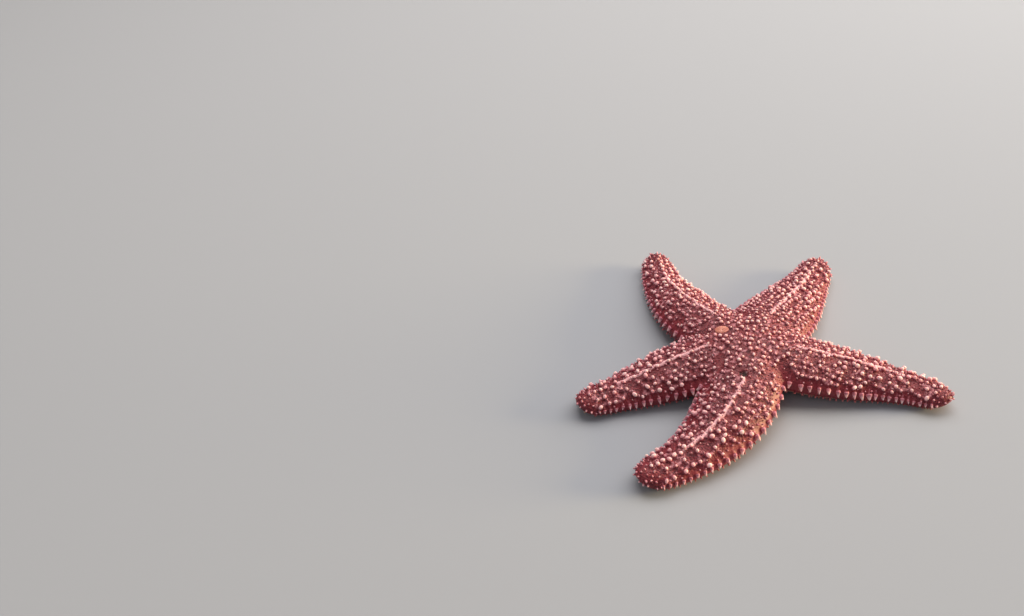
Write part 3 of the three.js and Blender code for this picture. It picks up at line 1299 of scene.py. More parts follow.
@dataclass
class Crowd:
    """Fills the back with points that keep their distance, from seeded throws."""

    skin: Skin
    seed: int
    scatter: float = 0.4  # of the skin's voxel

    def throws(self, count: int) -> tuple[Array, Array]:
        """Throws points evenly on the skin.

        Args:
            count: how many.

        Returns:
            The points and the skin's outward directions there, each (count, 3).
        """
        dice = np.random.default_rng(self.seed)
        faces = self.skin.piece.data.polygons
        areas = Bench.read(faces, "area", float)
        middles = Bench.read(faces, "center", float, 3)
        picks = dice.choice(len(areas), count, p=areas / areas.sum())
        spread = dice.normal(0, self.skin.voxel * self.scatter, (count, 3))
        return self.skin.seat(middles[picks] + spread)

    @staticmethod
    def spaced(points: Array, gaps: Array, taken: Array, clear: Array) -> Array:
        """Picks points that keep their distance from what stands and from each other.

        Args:
            points: candidates, in order of choice.
            gaps: the least distance between each and another pick.
            taken: what already stands, (M, 3).
            clear: the least distance from each of those.

        Returns:
            The picks' indices.
        """
        standing = nearest_tree(taken)
        beside = list(itertools.product((-1, 0, 1), repeat=3))
        cell = float(gaps.max())
        grid: dict[tuple[int, int, int], list[int]] = {}
        picks: list[int] = []
        for index, point in enumerate(points):
            spot, owner, gap = standing.find(point)
            if gap < clear[owner]:
                continue
            home = tuple(int(v) for v in np.floor(point / cell))
            rivals = [
                other
                for dx, dy, dz in beside
                for other in grid.get((home[0] + dx, home[1] + dy, home[2] + dz), ())
            ]
            if rivals and np.linalg.norm(points[rivals] - point, axis=1).min() < gaps[index]:
                continue
            grid.setdefault(home, []).append(index)
            picks.append(index)
        return np.array(picks, int)


@dataclass
class Back:
    """The back's limy knobs: the ridge row, the rows beside it, the disc's field and fine ones.

    Lengths are millimetres, and a span runs between two shares of an arm's length.
    """

    skin: Skin
    seed: int = 11  # each kind of draw adds its own number to it
    first_share: float = 0.2
    last_share: float = 0.93
    arm_breadth: float = 0.98  # of the half-width
    root_sizes: Pair = (0.72, 1.04)
    root_span: Pair = (0.22, 0.6)
    end_sizes: Pair = (1.0, 0.8)
    end_span: Pair = (0.86, 0.97)
    ridge_pitch: float = 2.2
    ridge_zigzag: float = 0.32
    ridge_points: int = 200  # on its line
    ridge_from: float = 0.24
    ridge_to: float = 0.76
    ridge_waves: tuple[Pair, ...] = ((0.03, 90.0), (0.02, 41.0))  # swing and rate
    row_count: int = 6  # on each side of the ridge
    row_gaps: Pair = (2.45, 3.0)
    row_gap_span: Pair = (0.3, 0.75)
    row_pitch: float = 2.95
    row_pitches: Pair = (0.84, 1.14)  # as shares of it
    row_pitch_span: Pair = (0.25, 0.7)
    row_sizes: tuple[float, ...] = (1.1, 0.94, 0.76, 0.56)
    row_odds: tuple[float, ...] = (0.42, 0.34, 0.16, 0.08)
    row_left_out: float = 0.05
    disc_reach: float = 15.5
    disc_facing: float = 0.45  # how squarely the disc's field faces up
    disc_throws: int = 20000
    disc_gap: float = 2.08
    disc_sizes: tuple[float, ...] = (0.9, 0.78, 0.66, 0.52)
    disc_odds: tuple[float, ...] = (0.38, 0.34, 0.18, 0.1)
    least_gap: float = 1.55  # between any two knobs
    lean: float = 0.15
    squat: Pair = (0.56, 0.84)  # a knob's length over its width
    round_share: float = 0.6  # of the knobs, and the rest are blunt cones
    band_angle: float = math.radians(29)  # the bare band lies from here down to the comb
    bar_foot: float = math.radians(-6)
    bar_points: int = 10
    web_span: float = 4.4
    web_neighbours: int = 5
    web_step: float = 0.3
    web_bow: float = 0.35
    fine_throws: int = 60000
    fine_gap: float = 2.3
    fine_sizes: Pair = (0.34, 0.52)
    fine_squat: Pair = (0.9, 1.3)
    fine_facing: float = 0.42
    fine_level: float = 0.56  # of the body's depth, below which they keep to the arms' ends
    end_gap: float = 1.5
    end_facing: float = -0.35
    end_growth: float = 1.2
    knob_clear: float = 1.2  # of a knob's size
    sieve_clear: float = 3.6
    knobs: Planting | None = None
    fines: Planting | None = None

    def on_own_arm(self, points: Array, index: int) -> Array:
        """Tells which points lie on an arm's own side of the creases, clear of the disc's field.

        Args:
            points: places on the skin, (N, 3).
            index: the arm's number.

        Returns:
            True for each point that does.
        """
        where = Where.of(points)
        reach = np.linalg.norm(points[:, :2], axis=1)
        inside = where.share < self.arm_breadth
        return (where.arm == index) & (reach > self.disc_reach) & inside

    def size_at(self, t: Array) -> Array:
        """Gives the knobs' usual size along an arm: largest half-way out, smaller at the end."""
        return ease(self.root_sizes, self.root_span, t) * ease(self.end_sizes, self.end_span, t)

    def ridge(self, index: int) -> tuple[Array, Array]:
        """Lays the ridge row of an arm.

        Args:
            index: the arm's number.

        Returns:
            Points near the skin, and sizes.
        """
        arm = ARMS[index]
        dice = np.random.default_rng(self.seed + index)
        count = round((self.last_share - self.first_share) * arm.length / self.ridge_pitch)
        t = np.linspace(self.first_share, self.last_share, count)
        zigzag = np.where(np.arange(count) % 2, self.ridge_zigzag, -self.ridge_zigzag)
        arcs = zigzag + dice.normal(0, 0.12, count)
        angles = [arm.arc_angles(share, np.array([arc]))[0] for share, arc in zip(t, arcs)]
        return arm.skin_at(t, np.array(angles)), self.size_at(t) * dice.uniform(0.8, 1.04, count)

    def rows(self, index: int) -> tuple[Array, Array]:
        """Lays the rows beside the ridge, each ending where the arm grows too narrow for it.

        Args:
            index: the arm's number.

        Returns:
            Points near the skin, and sizes.
        """
        arm = ARMS[index]
        dice = np.random.default_rng(self.seed + 50 + index)
        points, sizes = [], []
        for side in (-1, 1):
            for row in range(1, self.row_count + 1):
                t = self.first_share + (0.5 * (row % 2)) * self.row_pitch / arm.length
                while t < self.last_share:
                    pitch = self.row_pitch * ease(self.row_pitches, self.row_pitch_span, t)
                    t_here = t + dice.normal(0, 0.2) * pitch / arm.length
                    gap = ease(self.row_gaps, self.row_gap_span, t)
                    arc = row * gap + dice.normal(0, 0.45)
                    t += pitch / arm.length
                    size = self.size_at(t_here) * dice.choice(self.row_sizes, p=self.row_odds)
                    off_back = arc > arm.arc_to(t_here, self.band_angle)
                    if off_back or dice.random() < self.row_left_out:
                        continue
                    angle = arm.arc_angles(t_here, np.array([side * arc]))
                    points.append(arm.skin_at(np.array([t_here]), angle)[0])
                    sizes.append(size)
        return np.array(points), np.array(sizes)

    def disc(self, bare: Array) -> tuple[Array, Array]:
        """Fills the disc with knobs that keep their distance.

        Args:
            bare: the sieve plate's centre, (1, 3).

        Returns:
            Points on the skin, and sizes.
        """
        points, normals = Crowd(self.skin, self.seed + 90).throws(self.disc_throws)
        reach = np.linalg.norm(points[:, :2], axis=1)
        points = points[(reach < self.disc_reach) & (normals[:, 2] > self.disc_facing)]
        clear = np.full(1, self.sieve_clear)
        picks = Crowd.spaced(points, np.full(len(points), self.disc_gap), bare, clear)
        dice = np.random.default_rng(self.seed + 91)
        return points[picks], dice.choice(self.disc_sizes, len(picks), p=self.disc_odds)

    def plan(self, bare: Array, blanks: Array, blank_size: float) -> None:
        """Works out where every knob stands.

        Args:
            bare: the sieve plate's centre, (1, 3).
            blanks: centres of patches with no knobs, (N, 3).
            blank_size: their radius.
        """
        groups = [self.disc(bare)]
        for index in range(len(ARMS)):
            for points, sizes in (self.ridge(index), self.rows(index)):
                seats, _ = self.skin.seat(points)
                keep = self.on_own_arm(seats, index)
                groups.append((seats[keep], sizes[keep]))
        points = np.concatenate([group[0] for group in groups])
        sizes = np.concatenate([group[1] for group in groups])
        keep = distances(points, blanks) > blank_size
        points, sizes = points[keep], sizes[keep]
        clear = np.full(1, self.sieve_clear)
        spaced = Crowd.spaced(points, np.full(len(points), self.least_gap), bare, clear)
        points, sizes = points[spaced], sizes[spaced]
        dice = np.random.default_rng(self.seed + 7)
        lean = dice.normal(0, self.lean, (len(points), 3))
        lengths = sizes * dice.uniform(*self.squat, len(points))
        self.knobs = Planting.on(self.skin, points, sizes, lengths, lean)
        self.fines = self.plan_fines(bare, blanks, blank_size)

    def plan_fines(self, bare: Array, blanks: Array, blank_size: float) -> Planting:
        """Works out where the fine spines on the web and round the arms' ends stand.

        Args:
            bare: the sieve plate's centre, (1, 3).
            blanks: centres of patches with no spines, (N, 3).
            blank_size: their radius.

        Returns:
            The planting.
        """
        points, normals = Crowd(self.skin, self.seed + 120).throws(self.fine_throws)
        on_web, web_normals = self.skin.seat(self.web())
        shuffle = np.random.default_rng(self.seed + 121).permutation(len(on_web))
        points = np.concatenate([on_web[shuffle], points])
        normals = np.concatenate([web_normals[shuffle], normals])
        where = Where.of(points)
        at_end = where.t > self.last_share - 0.01
        facing = normals[:, 2]
        top = (facing > self.fine_facing) | (at_end & (facing > self.end_facing))
        high = Skin.level_of(points, where) > self.fine_level
        on_arms = np.linalg.norm(points[:, :2], axis=1) > self.disc_reach
        keep = top & on_arms & (high | at_end) & (distances(points, blanks) > blank_size)
        points, at_end = points[keep], at_end[keep]
        gaps = np.where(at_end, self.end_gap, self.fine_gap)
        taken = np.concatenate([self.knobs.roots, bare])
        clear = np.concatenate([self.knobs.sizes * self.knob_clear, [self.sieve_clear]])
        picks = Crowd.spaced(points, gaps, taken, clear)
        count = len(picks)
        dice = np.random.default_rng(self.seed + 8)
        sizes = dice.uniform(*self.fine_sizes, count)
        sizes = sizes * np.where(at_end[picks], self.end_growth, 1.0)
        lean = dice.normal(0, self.lean, (count, 3))
        lengths = sizes * dice.uniform(*self.fine_squat, count)
        return Planting.on(self.skin, points[picks], sizes, lengths, lean)

    def web(self) -> Array:
        """Draws the limy web: lines of points from each knob to its nearest neighbours.

        Returns:
            Closely spaced points on the skin.
        """
        tree = nearest_tree(self.knobs.roots)
        dice = np.random.default_rng(self.seed + 130)
        lines = []
        for index, root in enumerate(self.knobs.roots):
            for spot, other, gap in tree.find_n(root, self.web_neighbours):
                if other > index and gap < self.web_span:
                    steps = np.linspace(0, 1, int(gap / self.web_step) + 2)[:, None]
                    bow = np.sin(steps * math.pi) * dice.normal(0, self.web_bow, 3)
                    lines.append(root + (np.array(spot) - root) * steps + bow)
        return self.skin.seat(np.concatenate(lines))[0]

    def ridge_lines(self) -> Array:
        """Draws the pale ridge along each arm as closely spaced points on the skin.

        Returns:
            The points, (N, 3).
        """
        t = np.linspace(self.ridge_from, self.ridge_to, self.ridge_points)
        crest = np.full(len(t), math.pi / 2)
        wander = sum(swing * np.sin(t * rate) for swing, rate in self.ridge_waves)
        return self.skin.seat(np.concatenate([arm.skin_at(t, crest + wander) for arm in ARMS]))[0]

    def bars(self, comb: Array) -> Array:
        """Draws the bars that run up the bare band of the flank from the comb's teeth.

        Args:
            comb: the teeth's roots, (N, 3).

        Returns:
            Closely spaced points on the skin.
        """
        lines = []
        where = Where.of(comb)
        angles = np.linspace(self.bar_foot, self.band_angle, self.bar_points)
        for arm, t, offset in zip(where.arm, where.t, where.offset):
            side = angles if offset > 0 else math.pi - angles
            lines.append(ARMS[arm].skin_at(np.full(len(side), t), side))
        return self.skin.seat(np.concatenate(lines))[0]

    def rise_with_skin(self) -> None:
        """Brings knobs and fine spines up to the swollen skin."""
        self.knobs = self.knobs.lifted(self.skin)
        self.fines = self.fines.lifted(self.skin)

    def build(self) -> None:
        """Makes the round and the blunt knobs, and the fine spines."""
        pale = LimyKnob().make()
        pink = LimyKnob(name="pink limy point", head="#d48e98", rubbed="#e6b0b4").make()
        knob, cone = SprigShape.KNOB.make(), SprigShape.CONE.make()
        pick = np.random.default_rng(self.seed + 9).random(len(self.knobs)) < self.round_share
        for name, sprig, planting, material in (
            ("round_knobs", knob, self.knobs.only(pick), pale),
            ("blunt_knobs", cone, self.knobs.only(~pick), pale),
            ("fine_spines", cone, self.fines, pink),
        ):
            piece = sprig.copies(name, planting, self.seed + 10)
            Bench.hand_over(piece, material, "spine")


@dataclass(frozen=True)
class CombRow:
    """One row of spines along an arm's side."""

    angle: int  # degrees round the section, above the margin
    pitch: Pair  # from spine to spine, at the root and at the end
    droop: float  # how far the spines tip down


@dataclass
class Combs:
    """The spines along each side: the upper comb of teeth, and the lower rows of pegs."""

    skin: Skin
    seed: int = 31
    first_share: float = 0.2
    last_share: float = 0.93
    upper_rows: tuple[CombRow, ...] = (CombRow(14, (3.5, 2.3), 1.4),)
    lower_rows: tuple[CombRow, ...] = (
        CombRow(-20, (2.6, 1.8), 0.5),
        CombRow(-52, (3.0, 2.2), 0.2),
        CombRow(-67, (3.0, 2.2), 0.1),
        CombRow(-81, (3.0, 2.2), 0.1),
    )
    pitch_span: Pair = (0.3, 0.95)
    sizes: Pair = (1.0, 0.56)
    size_span: Pair = (0.5, 0.95)
    axil_clear: float = 16.5  # from the disc's centre
    least_room: float = 0.5  # under a spine's root
    peg_share: float = 0.55  # of a tooth's length
    peg_length: float = 1.95  # of the model

    def row(self, index: int, side: int, kind: CombRow) -> Planting:
        """Lays one row along a side of an arm.

        Args:
            index: the arm's number.
            side: 1 for the right side, -1 for the left.
            kind: the row.

        Returns:
            The planting.
        """
        arm = ARMS[index]
        dice = np.random.default_rng(self.seed + index * 7 + (side > 0) + kind.angle + 60)
        shares = []
        t = self.first_share
        while t < self.last_share:
            shares.append(t)
            t += ease(kind.pitch, self.pitch_span, t) * dice.uniform(0.92, 1.08) / arm.length
        t = np.array(shares)
        angle = math.radians(kind.angle)
        angles = np.full(len(t), angle if side > 0 else math.pi - angle)
        points = arm.skin_at(t, angles)
        reach = np.linalg.norm(points[:, :2], axis=1)
        keep = (Where.of(points).arm == index) & (reach > self.axil_clear)
        t, points = t[keep], points[keep]
        count = len(t)
        lean = dice.normal(0, 0.2, (count, 3)) - UP * kind.droop
        size = ease(self.sizes, self.size_span, t)
        widths = size * dice.uniform(0.84, 1.1, count)
        lengths = size * dice.uniform(0.8, 1.14, count)
        return Planting.on(self.skin, points, widths, lengths, lean)

    def plan(self, rows: Sequence[CombRow]) -> Planting:
        """Lays rows along both sides of every arm."""
        lines = itertools.product(range(len(ARMS)), (1, -1), rows)
        return Planting.together([self.row(*line) for line in lines])

    def build(self, upper: Planting) -> None:
        """Makes the upper comb and the rows under it.

        Args:
            upper: the upper comb's places.
        """
        pale = LimyKnob(name="marginal spine", foot="#c07684", stalk="#e6a8b0", head="#f5c4c6")
        teeth = SprigShape.TOOTH.make().copies("upper_comb", upper, self.seed)
        Bench.hand_over(teeth, pale.make(), "spine")
        lower = self.plan(self.lower_rows)
        lower = lower.only(lower.roots[:, 2] > self.least_room)
        room = (lower.roots[:, 2] - FLOOR_GAP) / self.peg_length
        lower.lengths = np.minimum(lower.lengths * self.peg_share, room)
        # the lower rows get darker tones than the pale upper comb: painted shade under the comb and
        # beneath the arm, not the spines' own colour
        painted_shade_spine = LimyKnob(name="shaded lower spine", stalk="#8f4247", head="#b9696a", rubbed="#c98282")
        pegs = SprigShape.PEG.make().copies("lower_comb", lower, self.seed + 1)
        Bench.hand_over(pegs, painted_shade_spine.make(), "spine")


@dataclass
class Fuzz:
    """The small soft organs of the back: wreaths of pincers round the knobs, gills in the pits."""

    skin: Skin
    seed: int = 51
    wreath_count: int = 8
    wreath_gap: float = 0.3  # from a knob's foot to its wreath
    wreath_lean: float = 0.35
    pincer_sizes: Pair = (0.8, 1.25)
    foot_radius: float = 0.66  # of a knob of size 1
    gill_throws: int = 90000
    gill_level: float = 0.56  # of the body's depth
    gill_facing: float = 0.35  # how squarely the skin faces up
    gill_gap: float = 1.0
    gill_clear: float = 0.5  # from the web
    gill_sizes: Pair = (0.75, 1.2)
    knob_clear: Pair = (0.8, 0.35)  # per size of the knob, and besides
    ridge_clear: float = 1.2
    sieve_clear: float = 3.4

    def wreaths(self, knobs: Planting) -> Planting:
        """Rings each knob with pincers that lean outwards.

        Args:
            knobs: the knobs' places.

        Returns:
            The planting.
        """
        dice = np.random.default_rng(self.seed)
        shape = (len(knobs), self.wreath_count)
        turns = 2 * math.pi * np.arange(self.wreath_count) / self.wreath_count
        angles = turns + dice.uniform(0, 2 * math.pi, (len(knobs), 1)) + dice.normal(0, 0.14, shape)
        reach = (self.foot_radius * knobs.sizes + self.wreath_gap)[:, None]
        reach = reach * dice.uniform(0.88, 1.2, shape)
        sides = unit(np.cross(knobs.ups, [1.0, 0.0, 0.0]))
        others = np.cross(knobs.ups, sides)
        angles = angles[..., None]
        out = sides[:, None] * np.cos(angles) + others[:, None] * np.sin(angles)
        points = (knobs.roots[:, None] + out * reach[..., None]).reshape(-1, 3)
        sizes = dice.uniform(*self.pincer_sizes, len(points))
        lengths = sizes * dice.uniform(0.8, 1.3, len(points))
        lean = out.reshape(-1, 3) * self.wreath_lean
        return Planting.on(self.skin, points, sizes, lengths, lean)

    def gills(self, knobs: Planting, webs: Array, bare: Array) -> Planting:
        """Fills the pits between knobs and web with gills.

        Args:
            knobs: the knobs' places.
            webs: points along the limy web, (M, 3).
            bare: the sieve plate's centre, (1, 3).

        Returns:
            The planting.
        """
        points, normals = Crowd(self.skin, self.seed + 1).throws(self.gill_throws)
        level = Skin.level_of(points, Where.of(points))
        points = points[(level > self.gill_level) & (normals[:, 2] > self.gill_facing)]
        points = points[distances(points, webs) > self.gill_clear]
        per_size, besides = self.knob_clear
        clear = np.concatenate([knobs.sizes * per_size + besides, [self.sieve_clear]])
        standing = np.concatenate([knobs.roots, bare])
        picks = Crowd.spaced(points, np.full(len(points), self.gill_gap), standing, clear)
        count = len(picks)
        dice = np.random.default_rng(self.seed + 2)
        sizes = dice.uniform(*self.gill_sizes, count)
        lean = dice.normal(0, 0.25, (count, 3))
        lengths = sizes * dice.uniform(0.7, 1.3, count)
        return Planting.on(self.skin, points[picks], sizes, lengths, lean)

    def build(self, knobs: Planting, ridges: Array, webs: Array, bare: Array) -> None:
        """Makes pincers, save on the ridges, and gills.

        Args:
            knobs: the knobs' places.
            ridges: points along the ridges.
            webs: points along the limy web.
            bare: the sieve plate's centre.
        """
        flesh = SoftFlesh(name="tiny pincers' pale flesh", root="#70242f", end="#964c58").make()
        off_ridge = knobs.only(distances(knobs.roots, ridges) > self.ridge_clear)
        pincers = SprigShape.PINCER.make().copies("pincers", self.wreaths(off_ridge), self.seed + 3)
        Bench.hand_over(pincers, flesh, "spine")
        gills = SprigShape.GILL.make().copies("gills", self.gills(knobs, webs, bare), self.seed + 4)
        Bench.hand_over(gills, SoftFlesh(name="translucent skin gills").make(), "papula")


@dataclass
class Underside:
    """What lines the grooves: rows of tube feet, the spines along the edges and the mouth's."""

    skin: Skin
    seed: int = 71
    first_share: float = 0.08
    last_share: float = 0.94
    foot_pitch: float = 1.5
    foot_rows: tuple[float, ...] = (-0.74, -0.26, 0.26, 0.74)  # shares of the groove's half-width
    foot_widths: Pair = (1.0, 0.62)
    foot_splay: float = 0.22
    foot_reaches: Pair = (1.0, 0.8)  # of the way to the floor
    foot_odds: Pair = (0.75, 0.25)
    peg_pitch: float = 1.45
    peg_rows: tuple[float, ...] = (-1.2, -0.97, 0.97, 1.2)
    peg_widths: Pair = (0.9, 0.6)
    peg_lean: float = 0.3
    peg_room: Pair = (0.25, 2.2)  # the least under its root, and the most it fills
    peg_length: float = 1.95  # of the model
    mouth_reach: float = 6.2
    mouth_spread: float = 0.42  # radians across a jaw
    mouth_pegs: int = 5  # on a jaw
    mouth_lean: float = 0.8
    mouth_size: Pair = (1.35, 1.3)  # width and length

    def stand(
        self, shares: Sequence[float], pitch: float, seed: int
    ) -> tuple[Array, Array, Array, Array]:
        """Lays rows along every groove.

        Args:
            shares: each row's offset as a share of the groove's half-width.
            pitch: from one to the next along a row.
            seed: sets the scatter.

        Returns:
            Places on the sole (N, 3), shares of the arms' lengths, offsets' signs, and directions
            across the arms towards their right (N, 3).
        """
        dice = np.random.default_rng(seed)
        places, lengths, signs, rights = [], [], [], []
        for arm in ARMS:
            count = round((self.last_share - self.first_share) * arm.length / pitch)
            for row, share in enumerate(shares):
                t = np.linspace(self.first_share, self.last_share, count)
                t = t + ((row % 2) * 0.5 + dice.normal(0, 0.08, count)) * pitch / arm.length
                width = lerp(*GROOVE_HALF_WIDTH, t / GROOVE_END)
                points = arm.place_at(t, share * width, np.zeros(count))
                points[:, 2] = self.skin.roof(points[:, :2])
                heading = arm.heading_at(t)
                places.append(points)
                lengths.append(t)
                signs.append(np.full(count, np.sign(share)))
                rights.append(np.column_stack([np.sin(heading), -np.cos(heading), np.zeros(count)]))
        return tuple(np.concatenate(part) for part in (places, lengths, signs, rights))

    def feet(self) -> Planting:
        """Lets tube feet down from the grooves' roofs to the floor.

        Returns:
            The planting.
        """
        roots, t, signs, rights = self.stand(self.foot_rows, self.foot_pitch, self.seed)
        dice = np.random.default_rng(self.seed + 1)
        lean = rights * (signs * self.foot_splay)[:, None] + dice.normal(0, 0.1, roots.shape)
        ups = unit(lean * [1, 1, 0] - UP)
        reaches = dice.choice(self.foot_reaches, len(t), p=self.foot_odds)
        lengths = (roots[:, 2] - FLOOR_GAP) / -ups[:, 2] * reaches
        sizes = lerp(*self.foot_widths, t) * dice.uniform(0.9, 1.1, len(t))
        return Planting(roots, ups, sizes, lengths)

    def pegs(self) -> Planting:
        """Lines each groove's edges with two rows of pegs that lean over it.

        Returns:
            The planting.
        """
        roots, t, signs, rights = self.stand(self.peg_rows, self.peg_pitch, self.seed + 2)
        room = roots[:, 2] - FLOOR_GAP
        least, most = self.peg_room
        keep = room > least
        roots, t, signs, rights, room = (part[keep] for part in (roots, t, signs, rights, room))
        dice = np.random.default_rng(self.seed + 3)
        lean = rights * (signs * self.peg_lean)[:, None]
        ups = unit(-UP - lean + dice.normal(0, 0.12, roots.shape))
        lengths = np.minimum(room, most) / self.peg_length * dice.uniform(0.85, 1.0, len(t))
        return Planting(roots, ups, lerp(*self.peg_widths, t), lengths)

    def mouth(self) -> Planting:
        """Sets a fan of larger pegs on each of the five jaws, pointing in over the mouth.

        Returns:
            The planting.
        """
        headings = np.sort([arm.heading % 360 for arm in ARMS])
        jaws = np.radians(headings + np.diff(np.append(headings, headings[0] + 360)) / 2)
        fan = np.linspace(-1, 1, self.mouth_pegs) * self.mouth_spread
        angles = (jaws[:, None] + fan).ravel()
        out = np.column_stack([np.cos(angles), np.sin(angles), np.zeros(len(angles))])
        roots = out * self.mouth_reach
        roots[:, 2] = self.skin.roof(roots[:, :2])
        width, length = self.mouth_size
        ups = unit(-out * self.mouth_lean - UP)
        return Planting(roots, ups, np.full(len(roots), width), np.full(len(roots), length))

    def build(self) -> None:
        """Makes the tube feet and the pegs."""
        flesh = SoftFlesh(name="translucent tube feet", root="#b5815f", end="#efdcc6").make()
        feet = SprigShape.TUBE_FOOT.make().copies("tube_feet", self.feet(), self.seed + 4)
        Bench.hand_over(feet, flesh, "tube_foot")
        lime = LimyKnob(name="groove spine", foot="#b47a62", stalk="#d3a488", head="#ecd0b8").make()
        places = Planting.together([self.pegs(), self.mouth()])
        pegs = SprigShape.PEG.make().copies("groove_pegs", places, self.seed + 5)
        Bench.hand_over(pegs, lime, "spine")


@dataclass
class SievePlate:
    """The sieve plate: a low dome of orange limestone with furrows running out to its rim."""

    radius: float = 2.6
    narrowing: float = 0.76  # its breadth across the view, as a share of its length
    rise: float = 0.5
    sunk: float = 0.5
    rings: int = 11
    outer_ridges: int = 24
    inner_ridges: int = 12
    branching: Pair = (0.5, 0.6)  # shares of the radius where each ridge forks
    smooth_middle: Pair = (0.08, 0.25)
    furrow_depth: float = 0.12
    turn: float = math.radians(-12)  # of its length from +X

    def build(self, skin: Skin, place: Array) -> None:
        """Turns the dome, furrows it and seats it on the disc.

        Args:
            skin: the body's skin.
            place: its centre, (1, 3).
        """
        top_ring = 0.96  # of the climb to the pole, which the cap closes
        climb = np.linspace(0, math.pi / 2 * top_ring, self.rings)
        outline = [(self.radius * 0.97, -self.sunk)]
        outline += [(self.radius * math.cos(a), self.rise * math.sin(a)) for a in climb]
        piece = Bench.turned("sieve_plate", self.outer_ridges * 6, outline)
        points = Bench.points_of(piece)
        reach = np.linalg.norm(points[:, :2], axis=1) / self.radius
        bearing = np.arctan2(points[:, 1], points[:, 0])
        wander = 1.2 * np.sin(bearing * 3 + reach * 5) + 0.7 * np.sin(bearing * 7)
        outer = np.cos(self.outer_ridges * bearing + wander)
        inner = np.cos(self.inner_ridges * bearing + wander)
        wave = lerp(inner, outer, smoothstep(reach, *self.branching))
        wave = wave * smoothstep(reach, *self.smooth_middle)
        points[:, 2] += np.where(points[:, 2] > 0, wave * self.furrow_depth / 2, 0)
        points[:, 1] *= self.narrowing
        east, north = math.cos(self.turn), math.sin(self.turn)
        points[:, :2] = points[:, :2] @ np.array([[east, -north], [north, east]]).T
        # the mark falls to 0 in the furrows, where the finish paints shade
        Bench.mark(piece, "ridge", 0.5 + 0.5 * wave)
        seat, normal = skin.seat(place)
        tilt = Vector(UP).rotation_difference(Vector(normal[0])).to_matrix()
        Bench.place_points(piece, to_frame(points @ np.array(tilt).T + seat))
        Bench.hand_over(piece, SieveLime().make(), "sieve_plate")
        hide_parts("madreporite")


# ---- The studio ------------------------------------------------------------------------------


@dataclass(frozen=True)
class Lamp:
    """A square soft light that faces the disc. Its distance and size are metres."""

    name: str
    bearing: float  # degrees anticlockwise from +X
    elevation: float  # degrees above the floor
    distance: float
    size: float
    power: float  # watts
    colour: str

    def hang(self) -> None:
        """Puts the light in the scene."""
        data = bpy.data.lights.new(self.name, "AREA")
        data.size = self.size
        data.energy = self.power
        data.color = linear(self.colour)[:3]
        lamp = bpy.data.objects.new(self.name, data)
        flat, high = math.radians(self.bearing), math.radians(self.elevation)
        level = math.cos(high)
        reach = Vector((math.cos(flat) * level, math.sin(flat) * level, math.sin(high)))
        lamp.location = CENTRE + reach * self.distance
        lamp.rotation_euler = reach.to_track_quat("Z", "Y").to_euler()
        bpy.context.scene.collection.objects.link(lamp)


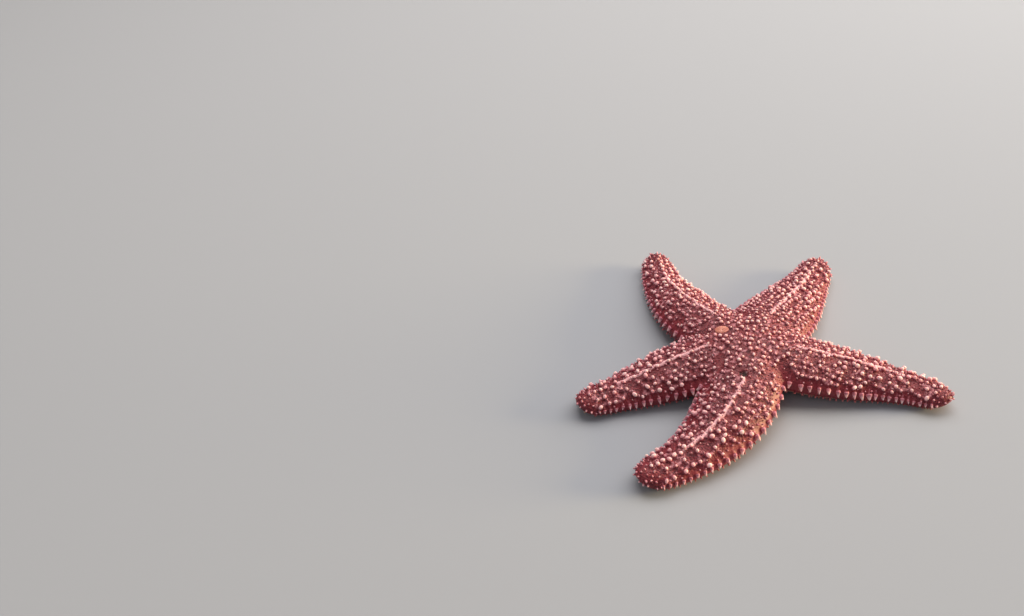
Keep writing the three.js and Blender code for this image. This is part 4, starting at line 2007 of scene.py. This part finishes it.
@dataclass(frozen=True)
class Studio:
    """A plain pale floor, soft warm lights from the right and behind, a faint fill, the camera."""

    camera_offset: tuple[float, float, float] = (-89.6, -262.2, 234.3)
    camera_pitch: float = 37.75  # degrees below level
    lens: float = 31.64
    floor_radius: float = 1.6
    floor_sides: int = 96
    floor_colour: str = "#9ea4ab"
    air_colour: str = "#d6d6da"
    air_strength: float = 0.3
    lamps: tuple[Lamp, ...] = (
        Lamp("key", bearing=34, elevation=38, distance=1.2, size=1.0, power=12, colour="#fff3ea"),
        Lamp("low_sun", bearing=4, elevation=9, distance=6.0, size=1.9, power=640, colour="#ffe2ae"),
        Lamp("sky", bearing=95, elevation=62, distance=1.2, size=1.0, power=12, colour="#fff3ec"),
        Lamp(
            "front_fill", bearing=230, elevation=40, distance=1.2, size=0.9, power=1.7, colour="#f3ecec"
        ),
    )

    def camera(self) -> None:
        """Stands the camera at the viewing angle, with no roll."""
        data = bpy.data.cameras.new("camera")
        data.lens = self.lens
        data.sensor_width = 36
        data.clip_start = 0.01
        camera = bpy.data.objects.new("camera", data)
        camera.location = CENTRE + Vector(self.camera_offset) * MM
        camera.rotation_euler = (math.radians(90 - self.camera_pitch), 0, 0)
        bpy.context.scene.collection.objects.link(camera)
        bpy.context.scene.camera = camera

    def floor(self) -> None:
        """Lays a plain pale round floor."""
        Bench.clear()
        bpy.ops.mesh.primitive_circle_add(
            vertices=self.floor_sides, radius=self.floor_radius, fill_type="NGON"
        )
        floor = Bench.named("floor")
        material = bpy.data.materials.new("matt pale paper")
        material.use_nodes = True
        shader = material.node_tree.nodes["Principled BSDF"]
        shader.inputs["Base Color"].default_value = linear(self.floor_colour)
        shader.inputs["Roughness"].default_value = 1.0
        shader.inputs["Specular IOR Level"].default_value = 0.0
        floor.data.materials.append(material)

    def build(self) -> None:
        """Sets up floor, lights, surroundings and camera."""
        self.floor()
        for lamp in self.lamps:
            lamp.hang()
        world = bpy.data.worlds.new("soft surroundings")
        world.use_nodes = True
        background = world.node_tree.nodes["Background"]
        background.inputs["Color"].default_value = linear(self.air_colour)
        background.inputs["Strength"].default_value = self.air_strength
        bpy.context.scene.world = world
        bpy.context.scene.view_settings.view_transform = "Standard"
        self.camera()


# ---- Assembly --------------------------------------------------------------------------------

SIEVE_PLACE = (-9.62, 5.12)  # 10.9 mm from the centre, on a bearing of 152 degrees
SPOT_PLACE = (-5.7, -19.0, 16.0)
SPOT_SIZE = 2.0
AXIL_PLACES = (  # a smooth patch in the crease between the left and front arms
    (-13.0, -7.2, 14.5),
    (-11.9, -9.6, 14.5),
    (-11.8, -12.0, 14.0),
)


def main() -> None:
    """Builds the animal from the skin out, and reports each piece."""
    logging.basicConfig(level=logging.INFO, format="%(message)s")
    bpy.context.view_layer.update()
    skin = Skin()
    skin.build()
    sieve, _ = skin.seat(np.array([[*SIEVE_PLACE, 18.0]]))
    spots = np.array([SPOT_PLACE])
    blanks, _ = skin.seat(np.array([SPOT_PLACE, *AXIL_PLACES]))
    back = Back(skin)
    back.plan(sieve, blanks, SPOT_SIZE)
    combs = Combs(skin)
    upper = combs.plan(combs.upper_rows)
    ridges = back.ridge_lines()
    welts = (
        Welt("web", back.web(), rise=0.22, reach=0.66),
        Welt("ridge", ridges, rise=0.5, reach=0.74),
        Welt("bar", back.bars(upper.roots), rise=0.14, reach=0.38),
    )
    knobs = Planting.together([back.knobs, upper])
    skin.swell(knobs.roots, knobs.sizes, welts)
    back.rise_with_skin()
    back.build()
    combs.build(upper.lifted(skin))
    bald = np.concatenate([welt.points for welt in welts] + [blanks])
    Fuzz(skin).build(back.knobs, ridges, bald, sieve)
    Underside(skin).build()
    SievePlate().build(skin, sieve)
    skin.dress(spots, SPOT_SIZE)
    Studio().build()


if __name__ == "__main__":
    main()
